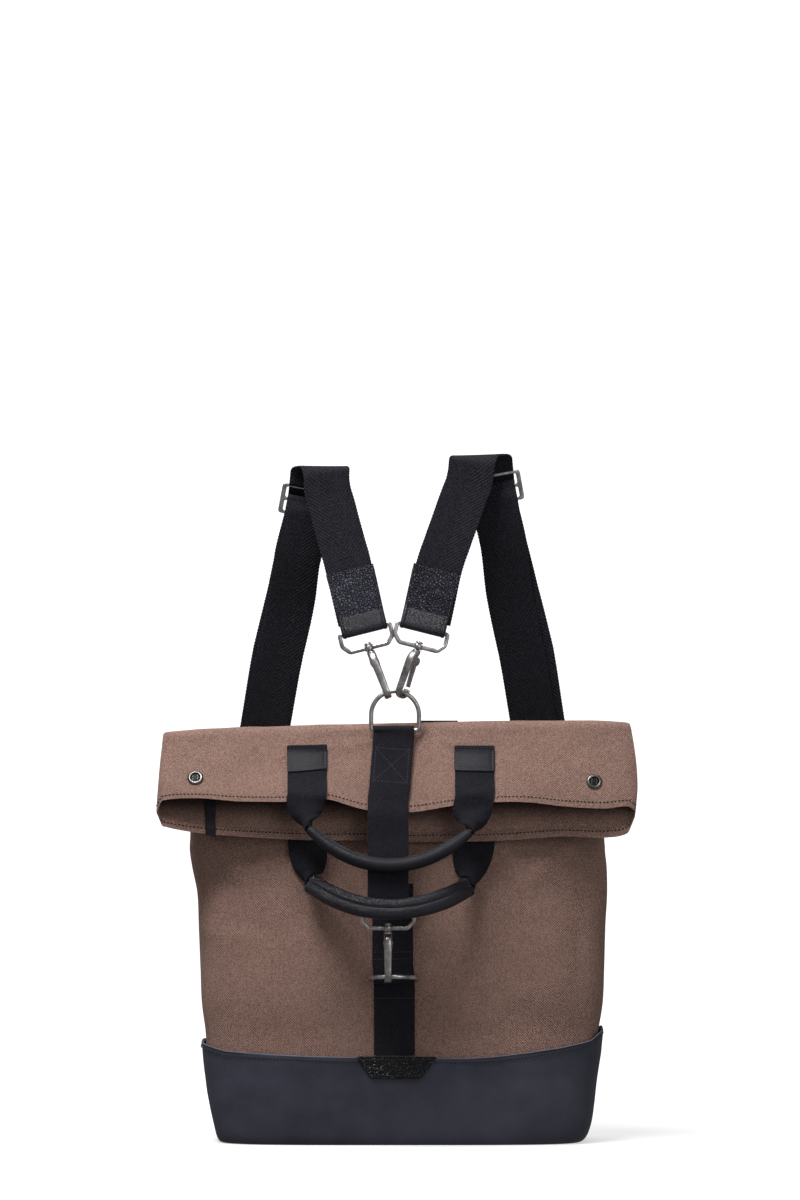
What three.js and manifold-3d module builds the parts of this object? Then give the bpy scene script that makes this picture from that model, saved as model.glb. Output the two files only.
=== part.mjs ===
// Convertible backpack, millimetres, +Z up, front towards -Y, standing on its leather base.
import * as THREE from 'three';
import { mergeVertices } from 'three/addons/utils/BufferGeometryUtils.js';
import ManifoldModule from 'manifold-3d';

const wasm = await ManifoldModule();
wasm.setup();
const { Manifold, Mesh: ManifoldMesh } = wasm;

// Driving dimensions.
const bodyHalf = 171;
const depthHalf = 56;
const bagHeight = 358.8;
const flapHalf = 204;
const flapDrop = 73.8;
const baseHeight = 78;
const gap = 0.35;
const canvasWall = 2;
const leatherWall = 2.2;
const patchThick = 1.6;
const webThick = 1.8;
const strapWidth = 38;
const frontWidth = 34.6;
const handleWidth = 33;
const wireR = 1.9;
const gripR = 5.6;
const sideGap = 1.1;
const ringLeg = 13;
const foldR = 8;
const foldDepth = 4.6;
const foldY = -34;
const tuck = 18;
const ringHalf = frontWidth / 2 + sideGap + wireR;
const foldZ = bagHeight - foldR - foldDepth;
const lipSeamZ = bagHeight - flapDrop;
const lay = gap + webThick / 2;
const barLoop = (r) => r + gap + webThick / 2;
const rad = THREE.MathUtils.degToRad;

// Leather cup from the floor up, as shares of baseHeight, bodyHalf and depthHalf. rim is the share
// of the way from the shoulder of the cup to its stitched edge.
const cupRows = [
  { z: 0, left: -0.8129, right: 0.8363, front: 0.6607, back: 0.6429, power: 3.4, rim: 0 },
  { z: 0.0205, left: -0.8538, right: 0.883, front: 0.7768, back: 0.75, power: 3.6, rim: 0 },
  { z: 0.1026, left: -0.883, right: 0.9357, front: 0.8661, back: 0.8393, power: 3.8, rim: 0 },
  { z: 0.2564, left: -0.9094, right: 0.9649, front: 0.9286, back: 0.9018, power: 4, rim: 0 },
  { z: 0.4872, left: -0.9357, right: 0.9795, front: 0.9732, back: 0.9464, power: 4.1, rim: 0 },
  { z: 0.7692, left: -0.9532, right: 0.9971, front: 1, back: 0.9732, power: 4.2, rim: 0 },
  { z: 0.7692, left: -0.9649, right: 1.0146, front: 1.0179, back: 0.9911, power: 4.2, rim: 0.6 },
  { z: 0.7692, left: -0.9708, right: 1.0269, front: 1.0286, back: 1, power: 4.2, rim: 1 },
].map((r) => ({ ...r, z: r.z * baseHeight, left: r.left * bodyHalf, right: r.right * bodyHalf,
  front: r.front * depthHalf, back: r.back * depthHalf }));
// Height of the stitched edge along x, as shares of bodyHalf and baseHeight.
const rimRows = [
  { x: -0.9942, z: 1.1026 }, { x: -0.8538, z: 1.0321 }, { x: -0.5497, z: 0.9936 },
  { x: -0.1754, z: 0.9679 }, { x: 0.3684, z: 0.9615 }, { x: 0.5497, z: 0.9936 },
  { x: 0.8129, z: 1.0705 }, { x: 0.9649, z: 1.141 }, { x: 1.0409, z: 1.2564 },
].map((r) => ({ x: r.x * bodyHalf, z: r.z * baseHeight }));

// Canvas tube above the cup. Seam line z and y, seam edges, depth in front and behind, as shares of
// bagHeight, bodyHalf and depthHalf, and the corner power of the section. flare is the share of the
// way from bodyHalf to flapHalf.
const bodyRows = [
  { z: 0.3344, y: -0.0357, left: -0.9673, right: 1.0292, front: 1.0179, back: 0.9821, power: 4.1 },
  { z: 0.4181, y: -0.0357, left: -0.9708, right: 1.0304, front: 1.0286, back: 0.9821, power: 4 },
  { z: 0.5156, y: -0.0357, left: -0.9801, right: 1.0351, front: 1.025, back: 0.9643, power: 3.7 },
  { z: 0.5909, y: -0.0429, left: -0.9848, right: 1.0433, front: 1, back: 0.9214, power: 3.4 },
  { z: 0.6522, y: -0.0714, left: -1.014, right: 1.0409, front: 0.9464, back: 0.8571, power: 3.1 },
  { z: 0.6968, y: -0.0893, left: -1.0234, right: 1.0327, front: 0.8929, back: 0.7857, power: 2.9 },
  { z: 0.7525, y: -0.1429, left: -1.0263, right: 1.0351, front: 0.7768, back: 0.6875, power: 2.8 },
  { z: 0.8361, y: -0.25, left: -0.9988, right: 1.0043, front: 0.5536, back: 0.5179, power: 2.7, flare: 0.4 },
  { z: 0.9058, y: -0.375, left: -0.9992, right: 0.994, front: 0.3125, back: 0.3036, power: 2.7, flare: 0.64 },
].map((r) => ({ ...r, half: bodyHalf + (r.flare ?? 0) * (flapHalf - bodyHalf) }))
  .map((r) => ({ z: r.z * bagHeight, y: r.y * depthHalf, left: r.left * r.half, right: r.right * r.half, front: r.front * depthHalf, back: r.back * depthHalf, power: r.power }));
// Rows inside the cup lie within its wall.
const inCup = [5, 6, 7].map((i) => {
  const r = cupRows[i], slip = leatherWall + gap + [0.3, 0.6, 0.8][i - 5];
  return { z: [baseHeight - tuck, baseHeight + 2, baseHeight + tuck][i - 5], y: -0.036 * depthHalf,
    left: r.left + slip, right: r.right - slip, front: r.front - slip, back: r.back - slip, power: r.power };
});
// The fold, with the turn of the section in degrees.
const foldRows = [0, 30, 60, 90, 120, 150, 180].map((turn, i) => ({
  z: foldZ + foldR * Math.sin(rad(turn)), y: foldY + foldR * Math.cos(rad(turn)),
  left: (-0.9676 - 0.0017 * i) * flapHalf, right: (0.9588 + 0.0037 * i) * flapHalf,
  front: foldDepth, back: foldDepth, power: 3, turn,
}));
// The hanging flap: z down from the fold as shares of flapDrop, y on from the fold as shares of
// depthHalf, and lip, the share of the lips' own height.
const flapRows = [
  { z: 0.4444, y: -0.3036, left: -0.9877, right: 0.9971, front: 0.1107, back: 0.125, power: 2.8, lip: 0.2 },
  { z: 0.7154, y: -0.4643, left: -0.9941, right: 1.002, front: 0.1536, back: 0.1714, power: 2.6, lip: 0.5 },
  { z: 0.878, y: -0.5536, left: -0.998, right: 0.9971, front: 0.1786, back: 0.1964, power: 2.4, lip: 0.8 },
  { z: 1, y: -0.6071, left: -0.999, right: 0.9902, front: 0.1893, back: 0.2143, power: 2.3, lip: 1 },
].map((r) => ({ z: bagHeight - r.z * flapDrop, y: foldY + r.y * depthHalf, left: r.left * flapHalf,
  right: r.right * flapHalf, front: r.front * depthHalf, back: r.back * depthHalf, power: r.power,
  turn: 180, lip: r.lip }));
const tubeRows = [...inCup, ...bodyRows, ...foldRows, ...flapRows].map((r) => ({ turn: 0, lip: 0, ...r }));
const foldStart = inCup.length + bodyRows.length;
const foldEnd = foldStart + foldRows.length - 1;
const lipRow = tubeRows.length - 1;
// Both lips along x: shares of flapHalf, and of flapDrop below the top of the fold.
const lipRows = [
  { x: -1, upper: 1, lower: 1.0068 }, { x: -0.9755, upper: 0.8645, lower: 1.1626 },
  { x: -0.8284, upper: 0.8306, lower: 1.2439 }, { x: -0.6618, upper: 0.8645, lower: 1.2846 },
  { x: -0.4657, upper: 0.8713, lower: 1.3184 }, { x: -0.299, upper: 0.8374, lower: 1.332 },
  { x: -0.1275, upper: 0.9661, lower: 1.332 }, { x: 0.0539, upper: 0.9932, lower: 1.3523 },
  { x: 0.2255, upper: 0.9187, lower: 1.3455 }, { x: 0.4069, upper: 0.878, lower: 1.3388 },
  { x: 0.549, upper: 0.878, lower: 1.3117 }, { x: 0.6912, upper: 0.9255, lower: 1.2846 },
  { x: 0.8627, upper: 0.9526, lower: 1.2981 }, { x: 0.9608, upper: 0.9322, lower: 1.2439 },
  { x: 1, upper: 1, lower: 1.0068 },
].map((r) => ({ x: r.x * flapHalf, upper: bagHeight - r.upper * flapDrop, lower: bagHeight - r.lower * flapDrop }));
const foldRise = 0.021;
// Soft dents and ridges of the cloth as shares of bodyHalf, bagHeight and depthHalf: centre, spread
// and depth (positive pushes outwards).
const dentRows = [
  { x: -0.8772, z: 0.6187, dx: 0.1988, dz: 0.0334, front: -0.0536, back: -0.0357 },
  { x: -0.7485, z: 0.4181, dx: 0.152, dz: 0.1672, front: 0.0286, back: 0.025 },
  { x: -0.3509, z: 0.6577, dx: 0.2573, dz: 0.0446, front: -0.0321, back: -0.0357 },
  { x: 0.4094, z: 0.6271, dx: 0.3041, dz: 0.039, front: -0.0286, back: 0.0268 },
  { x: 0.7719, z: 0.4599, dx: 0.1754, dz: 0.1672, front: 0.0321, back: 0.025 },
  { x: 0.1754, z: 0.3623, dx: 0.3509, dz: 0.0725, front: 0.0214, back: -0.0286 },
].map((r) => ({ x: r.x * bodyHalf, z: r.z * bagHeight, dx: r.dx * bodyHalf, dz: r.dz * bagHeight,
  front: r.front * depthHalf, back: r.back * depthHalf }));

// Where the separate fittings sit in the front view.
const strapX = { top: -2.6, lip: -7.4, hook: -7.4 };
const tabHeight = 21.5;
const hookWireZ = baseHeight + 0.2493 * (bagHeight - baseHeight);
const handles = {
  front: { left: -0.4444 * bodyHalf, right: 0.386 * bodyHalf, tabTop: bagHeight - 17.8,
    tips: [-0.4327, -86.3, 0.3421, -96.8], sag: -118.8, reach: -46 },
  lower: { left: -0.4386 * bodyHalf, right: 0.3836 * bodyHalf, tips: [-0.4298, -136.3, 0.3655, -139.3],
    sag: -161.3, reach: -53 },
};
// Shoulder straps: x as shares of bodyHalf, y from the fold's middle, z above the fold; the lower
// ring's y behind the bag and z above the base.
const at = (x, y, z) => [x * bodyHalf, foldY + y, bagHeight + z];
const ringAt = (x, y, z) => [x * bodyHalf, depthHalf + y, baseHeight + z];
const straps = {
  left: { side: -1, slider: at(-0.4327, 41, 196.2), crest: at(-0.3655, 26, 217.6), patch: at(-0.2304, 1, 127.7),
    ring: ringAt(-0.807, 1, 28), hookTop: at(-0.1404, -10.5, 65.8), onRing: -8.6, leanBack: -10.6,
    hookTurn: 0, second: -2 },
  right: { side: 1, slider: at(0.4766, 41, 207.7), crest: at(0.3918, 26, 226.8), patch: at(0.1988, 1, 129.2),
    ring: ringAt(0.8363, 1, 30), hookTop: at(0.1076, -15.5, 66.6), onRing: 4.6, leanBack: 10.2,
    hookTurn: -34, second: 4 },
};

// Vector helpers.
const V = (x, y, z) => new THREE.Vector3(x, y, z);
const lerp = THREE.MathUtils.lerp;
const clamp = THREE.MathUtils.clamp;

function between(rows, key, value) {
  let i = rows.findIndex((r) => r[key] > value);
  if (i < 0) i = rows.length - 1;
  if (i === 0) i = 1;
  const a = rows[i - 1], b = rows[i];
  const k = clamp((value - a[key]) / (b[key] - a[key]), 0, 1);
  return Object.fromEntries(Object.keys(a).map((n) => [n, lerp(a[n], b[n], k)]));
}

function rowAt(rows, s) {
  const i = clamp(Math.floor(s), 0, rows.length - 2), k = s - i;
  return Object.fromEntries(Object.keys(rows[0]).map((n) => [n, lerp(rows[i][n], rows[i + 1][n], k)]));
}

// Closed solid from rings of equal count; ring point k lies opposite point count-1-k.
function loft(rings, closed = false) {
  const n = rings[0].length, m = rings.length, at = [], index = [];
  rings.flat().forEach((p) => at.push(p.x, p.y, p.z));
  for (let i = 0; i < (closed ? m : m - 1); i++) {
    for (let j = 0; j < n; j++) {
      const a = i * n + j, b = i * n + ((j + 1) % n);
      const c = ((i + 1) % m) * n + ((j + 1) % n), d = ((i + 1) % m) * n + j;
      index.push(a, b, c, a, c, d);
    }
  }
  if (!closed) {
    for (let j = 0; j < n / 2 - 1; j++) {
      for (const [o, flip] of [[0, true], [(m - 1) * n, false]]) {
        const a = o + j, b = o + j + 1, c = o + n - 2 - j, d = o + n - 1 - j;
        index.push(...(flip ? [a, c, b, a, d, c] : [a, b, c, a, c, d]));
      }
    }
  }
  return solid(at, index);
}

function solid(at, index) {
  const p = (i) => V(at[3 * i], at[3 * i + 1], at[3 * i + 2]);
  let volume = 0;
  for (let i = 0; i < index.length; i += 3) {
    volume += p(index[i]).dot(p(index[i + 1]).cross(p(index[i + 2])));
  }
  if (volume < 0) for (let i = 0; i < index.length; i += 3) [index[i], index[i + 1]] = [index[i + 1], index[i]];
  const geometry = new THREE.BufferGeometry();
  geometry.setAttribute('position', new THREE.Float32BufferAttribute(at, 3));
  geometry.setIndex(index);
  return geometry;
}

function tangents(points, closed) {
  const n = points.length;
  return points.map((p, i) => {
    const a = closed ? points[(i + n - 1) % n] : points[Math.max(i - 1, 0)];
    const b = closed ? points[(i + 1) % n] : points[Math.min(i + 1, n - 1)];
    return b.clone().sub(a).normalize();
  });
}

// Flat webbing or leather strip. Columns: x, y, z, lean in the front view, swing seen from above,
// width, thickness. In a sheared one the lines across stay parallel where it moves sideways.
function ribbon(rows, sheared = false) {
  const points = rows.map((r) => V(r[0], r[1], r[2]));
  const along = tangents(points, false);
  return loft(rows.map((r, i) => {
    const lean = rad(r[3] ?? 0), swing = rad(r[4] ?? 0);
    const across = V(Math.cos(lean) * Math.cos(swing), Math.sin(swing), Math.sin(lean));
    if (!sheared) across.addScaledVector(along[i], -across.dot(along[i])).normalize();
    const out = across.clone().cross(along[i]).normalize();
    const w = r[5] / 2, t = r[6] / 2;
    return [[-w, -t], [w, -t], [w, t], [-w, t]].map(([a, b]) =>
      points[i].clone().addScaledVector(across, a).addScaledVector(out, b));
  }));
}

// Bent bar lying in a plane. sizes gives the height in the plane and the width across it.
function bar(points, normal, sizes, closed = false, sides = 8) {
  const along = tangents(points, closed);
  return loft(points.map((p, i) => {
    const [inPlane, across] = Array.isArray(sizes[0]) ? sizes[i] : sizes;
    const n = normal.clone().addScaledVector(along[i], -normal.dot(along[i])).normalize();
    const out = n.clone().cross(along[i]);
    return Array.from({ length: sides }, (_, j) => {
      const a = (2 * Math.PI * (j + 0.5)) / sides;
      return p.clone().addScaledVector(out, (Math.cos(a) * inPlane) / 2)
        .addScaledVector(n, (Math.sin(a) * across) / 2);
    });
  }), closed);
}

const arc = (y, z, r, from, to, steps) => Array.from({ length: steps + 1 }, (_, i) => {
  const a = rad(lerp(from, to, i / steps));
  return [y + r * Math.cos(a), z + r * Math.sin(a)];
});

// Smooth curve through table rows, all columns alike.
function smooth(rows, steps) {
  const out = [];
  for (let i = 0; i < rows.length - 1; i++) {
    const [p0, p1, p2, p3] = [rows[Math.max(i - 1, 0)], rows[i], rows[i + 1], rows[Math.min(i + 2, rows.length - 1)]];
    for (let k = 0; k < steps; k++) {
      const t = k / steps;
      out.push(p1.map((_, c) => 0.5 * (2 * p1[c] + (p2[c] - p0[c]) * t
        + (2 * p0[c] - 5 * p1[c] + 4 * p2[c] - p3[c]) * t * t
        + (3 * p1[c] - p0[c] - 3 * p2[c] + p3[c]) * t * t * t)));
    }
  }
  out.push(rows[rows.length - 1]);
  return out;
}

const welded = (geometry) => mergeVertices(geometry.clone().deleteAttribute('normal').deleteAttribute('uv'), 1e-4);
const toManifold = (geometry) => {
  const g = welded(geometry);
  return new Manifold(new ManifoldMesh({ numProp: 3,
    vertProperties: new Float32Array(g.attributes.position.array), triVerts: new Uint32Array(g.index.array) }));
};
const fromManifold = (m) => {
  const mesh = m.getMesh();
  const g = new THREE.BufferGeometry();
  g.setAttribute('position', new THREE.Float32BufferAttribute(mesh.vertProperties, 3));
  g.setIndex(new THREE.Uint32BufferAttribute(mesh.triVerts, 1));
  return g;
};

// Materials.
const paint = (hex, roughness, metalness = 0) =>
  new THREE.MeshStandardMaterial({ color: hex, roughness, metalness });
const canvas = paint(0x7b655b, 0.92);
const baseLeather = paint(0x3a3a44, 0.6);
const grainLeather = paint(0x24252b, 0.5);
const webbing = paint(0x1c1c22, 0.85);
const nickel = paint(0x96918e, 0.35, 0.95);

const pack = new THREE.Group();
pack.name = 'convertible_backpack';
const piece = (name, geometry, material) => {
  const mesh = new THREE.Mesh(geometry, material);
  mesh.name = name;
  pack.add(mesh);
  return mesh;
};

// Canvas: two panels of one tube, folded forward once at the top so that its mouth hangs down.
const dent = (x, z, side) => dentRows.reduce((sum, d) =>
  sum + d[side] * Math.exp(-(((x - d.x) / d.dx) ** 2) - ((z - d.z) / d.dz) ** 2), 0);

function tubePoint(side, s, share, inset = 0) {
  const r = rowAt(tubeRows, s);
  const middle = (r.left + r.right) / 2, half = (r.right - r.left) / 2 - inset;
  const x = middle + half * share;
  const depth = (r[side] - inset) * (1 - Math.abs(share) ** r.power) ** (1 / r.power);
  const sign = side === 'back' ? 1 : -1;
  const reach = sign * (Math.max(depth, gap / 2) + (s < foldStart ? dent(x, r.z, side) * Math.min(1, depth / 20) : 0));
  const lips = between(lipRows, 'x', x);
  const fold = clamp((s - foldStart + 3) / 3, 0, 1) * (1 - r.lip);
  return V(x, r.y + Math.cos(rad(r.turn)) * reach, r.z + Math.sin(rad(r.turn)) * reach
    + r.lip * ((side === 'back' ? lips.upper : lips.lower) - lipSeamZ) + fold * foldRise * x);
}

// Point on the outside of a panel at a given x and z, between two rows.
function onTube(side, x, z, from, to, lift = 0) {
  const share = (s) => { const r = rowAt(tubeRows, s); return (2 * x - r.left - r.right) / (r.right - r.left); };
  const up = tubePoint(side, to, share(to)).z > tubePoint(side, from, share(from)).z;
  let [a, b] = [from, to];
  for (let i = 0; i < 30; i++) {
    const s = (a + b) / 2;
    if ((tubePoint(side, s, share(s)).z < z) === up) a = s; else b = s;
  }
  const p = tubePoint(side, a, share(a));
  const ds = tubePoint(side, a + 0.02, share(a + 0.02)).sub(tubePoint(side, a - 0.02, share(a - 0.02)));
  const dx = tubePoint(side, a, clamp(share(a) + 0.01, -0.999, 0.999))
    .sub(tubePoint(side, a, clamp(share(a) - 0.01, -0.999, 0.999)));
  const n = ds.cross(dx).normalize();
  const outward = side === 'back' ? V(0, Math.cos(rad(rowAt(tubeRows, a).turn)), Math.sin(rad(rowAt(tubeRows, a).turn)))
    : V(0, -Math.cos(rad(rowAt(tubeRows, a).turn)), -Math.sin(rad(rowAt(tubeRows, a).turn)));
  if (n.dot(outward) < 0) n.negate();
  return { p: p.addScaledVector(n, lift), n };
}
const onFlap = (x, z, lift) => onTube('back', x, z, foldEnd - 3, lipRow, lift).p;
const onBack = (x, z, lift) => onTube('back', x, z, 0, foldStart, lift).p;
// Foremost y of a surface over a strip's width, less the room the strip needs.
const strip = [-1, -0.5, 0, 0.5, 1];
const beforeFlap = (x, z, half, room) => Math.min(...strip.map((k) => onFlap(x + k * half, z, room + 0.9).y));
const beforeBody = (x, z, half, room) =>
  Math.min(...strip.map((k) => onTube('front', x + k * half, z, 0, foldStart - 1, room).p.y));
const behindFlap = (x, z, half, room) =>
  Math.max(...strip.map((k) => onTube('front', x + k * half, z, foldEnd - 3, lipRow, room).p.y));

const acrossSteps = 20;
const shares = Array.from({ length: acrossSteps + 1 }, (_, i) => {
  const c = Math.cos(Math.PI * (1 - i / acrossSteps));
  return Math.sign(c) * Math.abs(c) ** 0.62;
});
for (const side of ['front', 'back']) {
  const rings = tubeRows.map((_, s) => [
    ...shares.map((a) => tubePoint(side, s, a)),
    ...shares.slice().reverse().map((a) => tubePoint(side, s, a, canvasWall)),
  ]);
  piece(`canvas_${side}_panel`, loft(rings), canvas);
}

// Leather base: a cup wrapped round the lower edge of the canvas.
const cupSteps = 42;
function cupRing(s, inset) {
  const r = rowAt(cupRows, s);
  const middle = (r.left + r.right) / 2, half = (r.right - r.left) / 2 - inset;
  return Array.from({ length: cupSteps }, (_, i) => {
    const a = (2 * Math.PI * (i + 0.5)) / cupSteps;
    const c = Math.sign(Math.cos(a)) * Math.abs(Math.cos(a)) ** (2 / r.power);
    const d = Math.sign(Math.sin(a)) * Math.abs(Math.sin(a)) ** (2 / r.power);
    const x = middle + half * c;
    const rim = between(rimRows, 'x', x).z;
    return V(x, -2 + ((d > 0 ? r.back : r.front) - inset) * d, r.z + r.rim * (rim - r.z));
  });
}
const floor = leatherWall / 1.6;
piece('leather_base', loft([
  ...cupRows.map((_, s) => cupRing(s, 0)),
  ...[7, 6, 5, 4, 3, 2, floor].map((s) => cupRing(s, leatherWall)),
]), baseLeather);
const cupFront = (x, z) => {
  const low = cupRows[4].z, top = cupRows[5].z;
  const s = z < top ? 4 + (z - low) / (top - low) : 5 + 2 * clamp((z - top) / (between(rimRows, 'x', x).z - top), 0, 1);
  const r = rowAt(cupRows, s), a = (2 * x - r.left - r.right) / (r.right - r.left);
  return -2 - r.front * (1 - Math.abs(a) ** r.power) ** (1 / r.power);
};

// Sewn-on patch that follows a surface: rows of x, y, z points with a thickness towards -Y or +Y.
function patch(name, rows, thick, material, toward = -1) {
  piece(name, loft(rows.map((row) => [
    ...row, ...row.slice().reverse().map((p) => p.clone().add(V(0, toward * thick, 0)))])), material);
}
const labelTop = between(rimRows, 'x', 0).z + 1.3;
const labelDrop = 19;
patch('leather_label', [1, 0.66, 0.3, 0].map((down) => {
  const k = 1 - down, z = labelTop - labelDrop * down, left = lerp(-21, -35, k), right = lerp(20, 34.5, k);
  return [0, 0.25, 0.5, 0.75, 1].map((a) => { const x = lerp(left, right, a); return V(x, cupFront(x, z) - gap, z); });
}), patchThick, grainLeather);
patch('back_patch', [[-30.8, 0], [-20.8, 0], [-11.8, 0], [2.2, 3.4]].map(([up, proud]) => [17, 29, 41, 52].map((x) => {
  const p = onBack(x, bagHeight + Math.min(up, -11.8), 0);
  return V(x, p.y + gap + 0.2 - proud, bagHeight + up);
})), patchThick, grainLeather, 1);

// D-rings.
function dRing(name, centre, up) {
  const arch = arc(0, 0, ringHalf, 0, 180, 12).map(([x, y]) => [x, y + ringLeg]);
  const path = [[ringHalf - 1.2, 0], [ringHalf, 1.2], ...arch, [-ringHalf, 1.2], [1.2 - ringHalf, 0]];
  const points = path.map(([x, h]) => V(centre[0] + x, centre[1], centre[2]).addScaledVector(up, h));
  piece(name, bar(points, V(1, 0, 0).cross(up), [2 * wireR, 2 * wireR], true), nickel);
}
const topRing = [strapX.top + sideGap, onFlap(strapX.top, bagHeight - 7.8, 0).y - lay - barLoop(wireR) - 0.8, bagHeight - 5.2];
dRing('top_ring', topRing, V(0, 0, 1));
const ringTilt = rad(8);
const lowerUp = V(0, -Math.cos(ringTilt), Math.sin(ringTilt));
const lowerBarZ = hookWireZ - 3 - (ringLeg + ringHalf) * Math.sin(ringTilt) / 2;
const lowerRing = [strapX.top, beforeBody(strapX.top, lowerBarZ, ringHalf, 0) - lay - barLoop(wireR) - 0.4, lowerBarZ];
dRing('lower_ring', lowerRing, lowerUp);
const lowerWire = V(...lowerRing).addScaledVector(lowerUp, ringLeg + ringHalf);

// Snap hooks: a swivel body with a J bowl round the ring, a sprung gate, and a frame on the strap.
const bowl = { r: 5.7, thick: 3, slack: 2, gatePivot: [2.4, 26.5], gateEnd: 3.6, shoulder: 35 };
function snapHook(name, wire, up, turn, aim) {
  const z = up.clone().normalize();
  const x = V(1, 0, 0).addScaledVector(z, -z.x).normalize().applyAxisAngle(z, rad(turn));
  const y = z.clone().cross(x);
  const centre = wire.clone().addScaledVector(z, bowl.slack);
  const place = new THREE.Matrix4().makeBasis(x, y, z).setPosition(centre);
  const cylinder = (r, l, at, axis) => {
    const g = new THREE.CylinderGeometry(r, r, l, 12);
    if (axis === 'z') g.rotateX(Math.PI / 2); else g.rotateZ(Math.PI / 2);
    return toManifold(g.translate(...at));
  };
  const j = [[5.7, 1.6], ...arc(0, 0, bowl.r, -10, -180, 7), [-bowl.r, 8], [-bowl.r, 18], [-5, 24],
    [-3.4, 29], [-1.2, 32.4], [0, 34.4]];
  const sizes = [[2.6, 4.2], ...Array(8).fill([bowl.thick, 4.4]), [3.2, 5], [3.6, 6.4], [4.4, 7.2],
    [5.4, 7.2], [5.4, 6.6], [5.2, 6]];
  const [py, pz] = bowl.gatePivot;
  const cheek = (side) => toManifold(new THREE.BoxGeometry(0.9, 9.4, 6).translate(side * 3.15, 0.4, pz));
  const body = toManifold(bar(j.map(([a, b]) => V(0, a, b)), V(1, 0, 0), sizes))
    .add(cheek(1)).add(cheek(-1))
    .add(cylinder(1.7, 9, [0, 0, 38.6], 'z')).add(cylinder(3, 1.4, [0, 0, 42.6], 'z'))
    .subtract(cylinder(1.45, 9, [0, py, pz], 'x'));
  piece(`${name}_body`, fromManifold(body).applyMatrix4(place), nickel);
  const gate = toManifold(bar([V(0, py + 0.3, pz - 1), V(0, 3.8, 14), V(0, bowl.r - 0.2, bowl.gateEnd)],
    V(1, 0, 0), [[1.9, 4.2], [1.9, 3.8], [1.9, 3.6]]))
    .add(cylinder(1.9, 4.4, [0, py, pz], 'x')).add(cylinder(1.1, 7, [0, py, pz], 'x'));
  piece(`${name}_gate`, fromManifold(gate).applyMatrix4(place), nickel).userData.pivot =
    { at: V(0, py, pz).applyMatrix4(place), axis: x.clone().negate() };
  // The frame's lower bar has a boss that the swivel stem turns in.
  const origin = centre.clone().addScaledVector(z, 39);
  const out = aim.clone().sub(origin).normalize();
  const across = V(out.z, 0, -out.x).normalize();
  const hex = [[-16.5, 0], [-4.5, 0], [4.5, 0], [16.5, 0], [22, 6], [22, 14.8], [20.4, 16.6],
    [-20.4, 16.6], [-22, 14.8], [-22, 6]];
  const frame = toManifold(bar(hex.map(([a, h]) => origin.clone().addScaledVector(across, a).addScaledVector(out, h)),
    out.clone().cross(across), [2.8, 3], true))
    .add(cylinder(3.9, 3.6, [0, 0, 39], 'z').transform(place.elements))
    .subtract(cylinder(2.1, 9, [0, 0, 38.6], 'z').transform(place.elements));
  piece(`${name}_frame`, fromManifold(frame), nickel);
  return { across, out, top: origin.clone().addScaledVector(out, 16.6) };
}

// Upper front strap: looped round the top ring, down over the flap, looped round the front hook.
const hookFoot = V(strapX.hook, lowerWire.y, lowerWire.z);
const frontHook = snapHook('front_hook', hookFoot, V(0, 0.03, 1), 0, hookFoot.clone().add(V(0, 2, 100)));
const half = frontWidth / 2;
const upperStrap = [];
const strapAt = (down) => lerp(strapX.top, strapX.lip, (down - 8.8) / 60);
for (const down of [49.8, 36.8, 22.8]) {
  upperStrap.push([strapAt(down), beforeFlap(strapX.top, bagHeight - down, half, lay), bagHeight - down]);
}
for (const [y, z] of arc(topRing[1], topRing[2], barLoop(wireR), -10, 200, 8)) upperStrap.push([strapX.top, y, z]);
for (const [down, slack] of [[18.8, 3], [30.8, 1.6], [42.8, 0.8], [53.8, 0.2]]) {
  const x = strapAt(down), z = bagHeight - down;
  upperStrap.push([x, beforeFlap(x, z, half, lay + webThick + gap) - slack, z]);
}
const lipZ = between(lipRows, 'x', strapX.lip).upper;
upperStrap.push([strapX.lip, beforeFlap(strapX.lip, lipZ + 9, half, lay) - 0.4, lipZ + 9]);
const { top: hold } = frontHook;
const overLip = beforeFlap(strapX.lip, lipZ + 2.5, half, lay) - 1.8;
const hung = (k) => lerp(lipZ, hold.z, k);
upperStrap.push([strapX.lip, overLip, hung(0)], [strapX.lip, lerp(overLip, hold.y, 0.35), hung(0.28)],
  [strapX.lip, lerp(overLip, hold.y, 0.8) - 2, hung(0.62)],
  [strapX.hook, hold.y - barLoop(1.5) - 0.4, hold.z + 10]);
for (const [y, z] of arc(hold.y, hold.z, barLoop(1.6), 180, 360, 6)) upperStrap.push([strapX.hook, y, z]);
upperStrap.push([strapX.hook, hold.y + 0.4, hold.z + 10],
  [strapX.hook, Math.max(hold.y, lerp(overLip, hold.y, 0.8) - 2 + webThick + gap + 0.8), hold.z + 22]);
piece('front_strap_upper', ribbon(upperStrap.map(([x, y, z]) => [x, y, z, 0, 0, frontWidth, webThick])), webbing);

// Lower front strap: sewn down the body, folded round the lower ring.
const lowerStrap = [];
const [, lowY, lowZ] = lowerRing;
const strapFoot = between(rimRows, 'x', 0).z + 2.3;
for (const k of [0, 0.25, 0.54, 0.82, 1]) {
  const z = lerp(strapFoot, lowZ - 8, k);
  lowerStrap.push([-2, beforeBody(-2, z, half, lay), z]);
}
for (const [y, z] of arc(lowY, lowZ, barLoop(wireR), 300, 60, 8)) lowerStrap.push([-2.4, y, z]);
for (const up of [13, 29, 47, 65, 81]) lowerStrap.push([-3.4, beforeBody(-3, lowZ + up, half, lay), lowZ + up]);
piece('front_strap_lower', ribbon(lowerStrap.map(([x, y, z]) => [x, y, z, 0, 0, frontWidth, webThick])), webbing);

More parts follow.
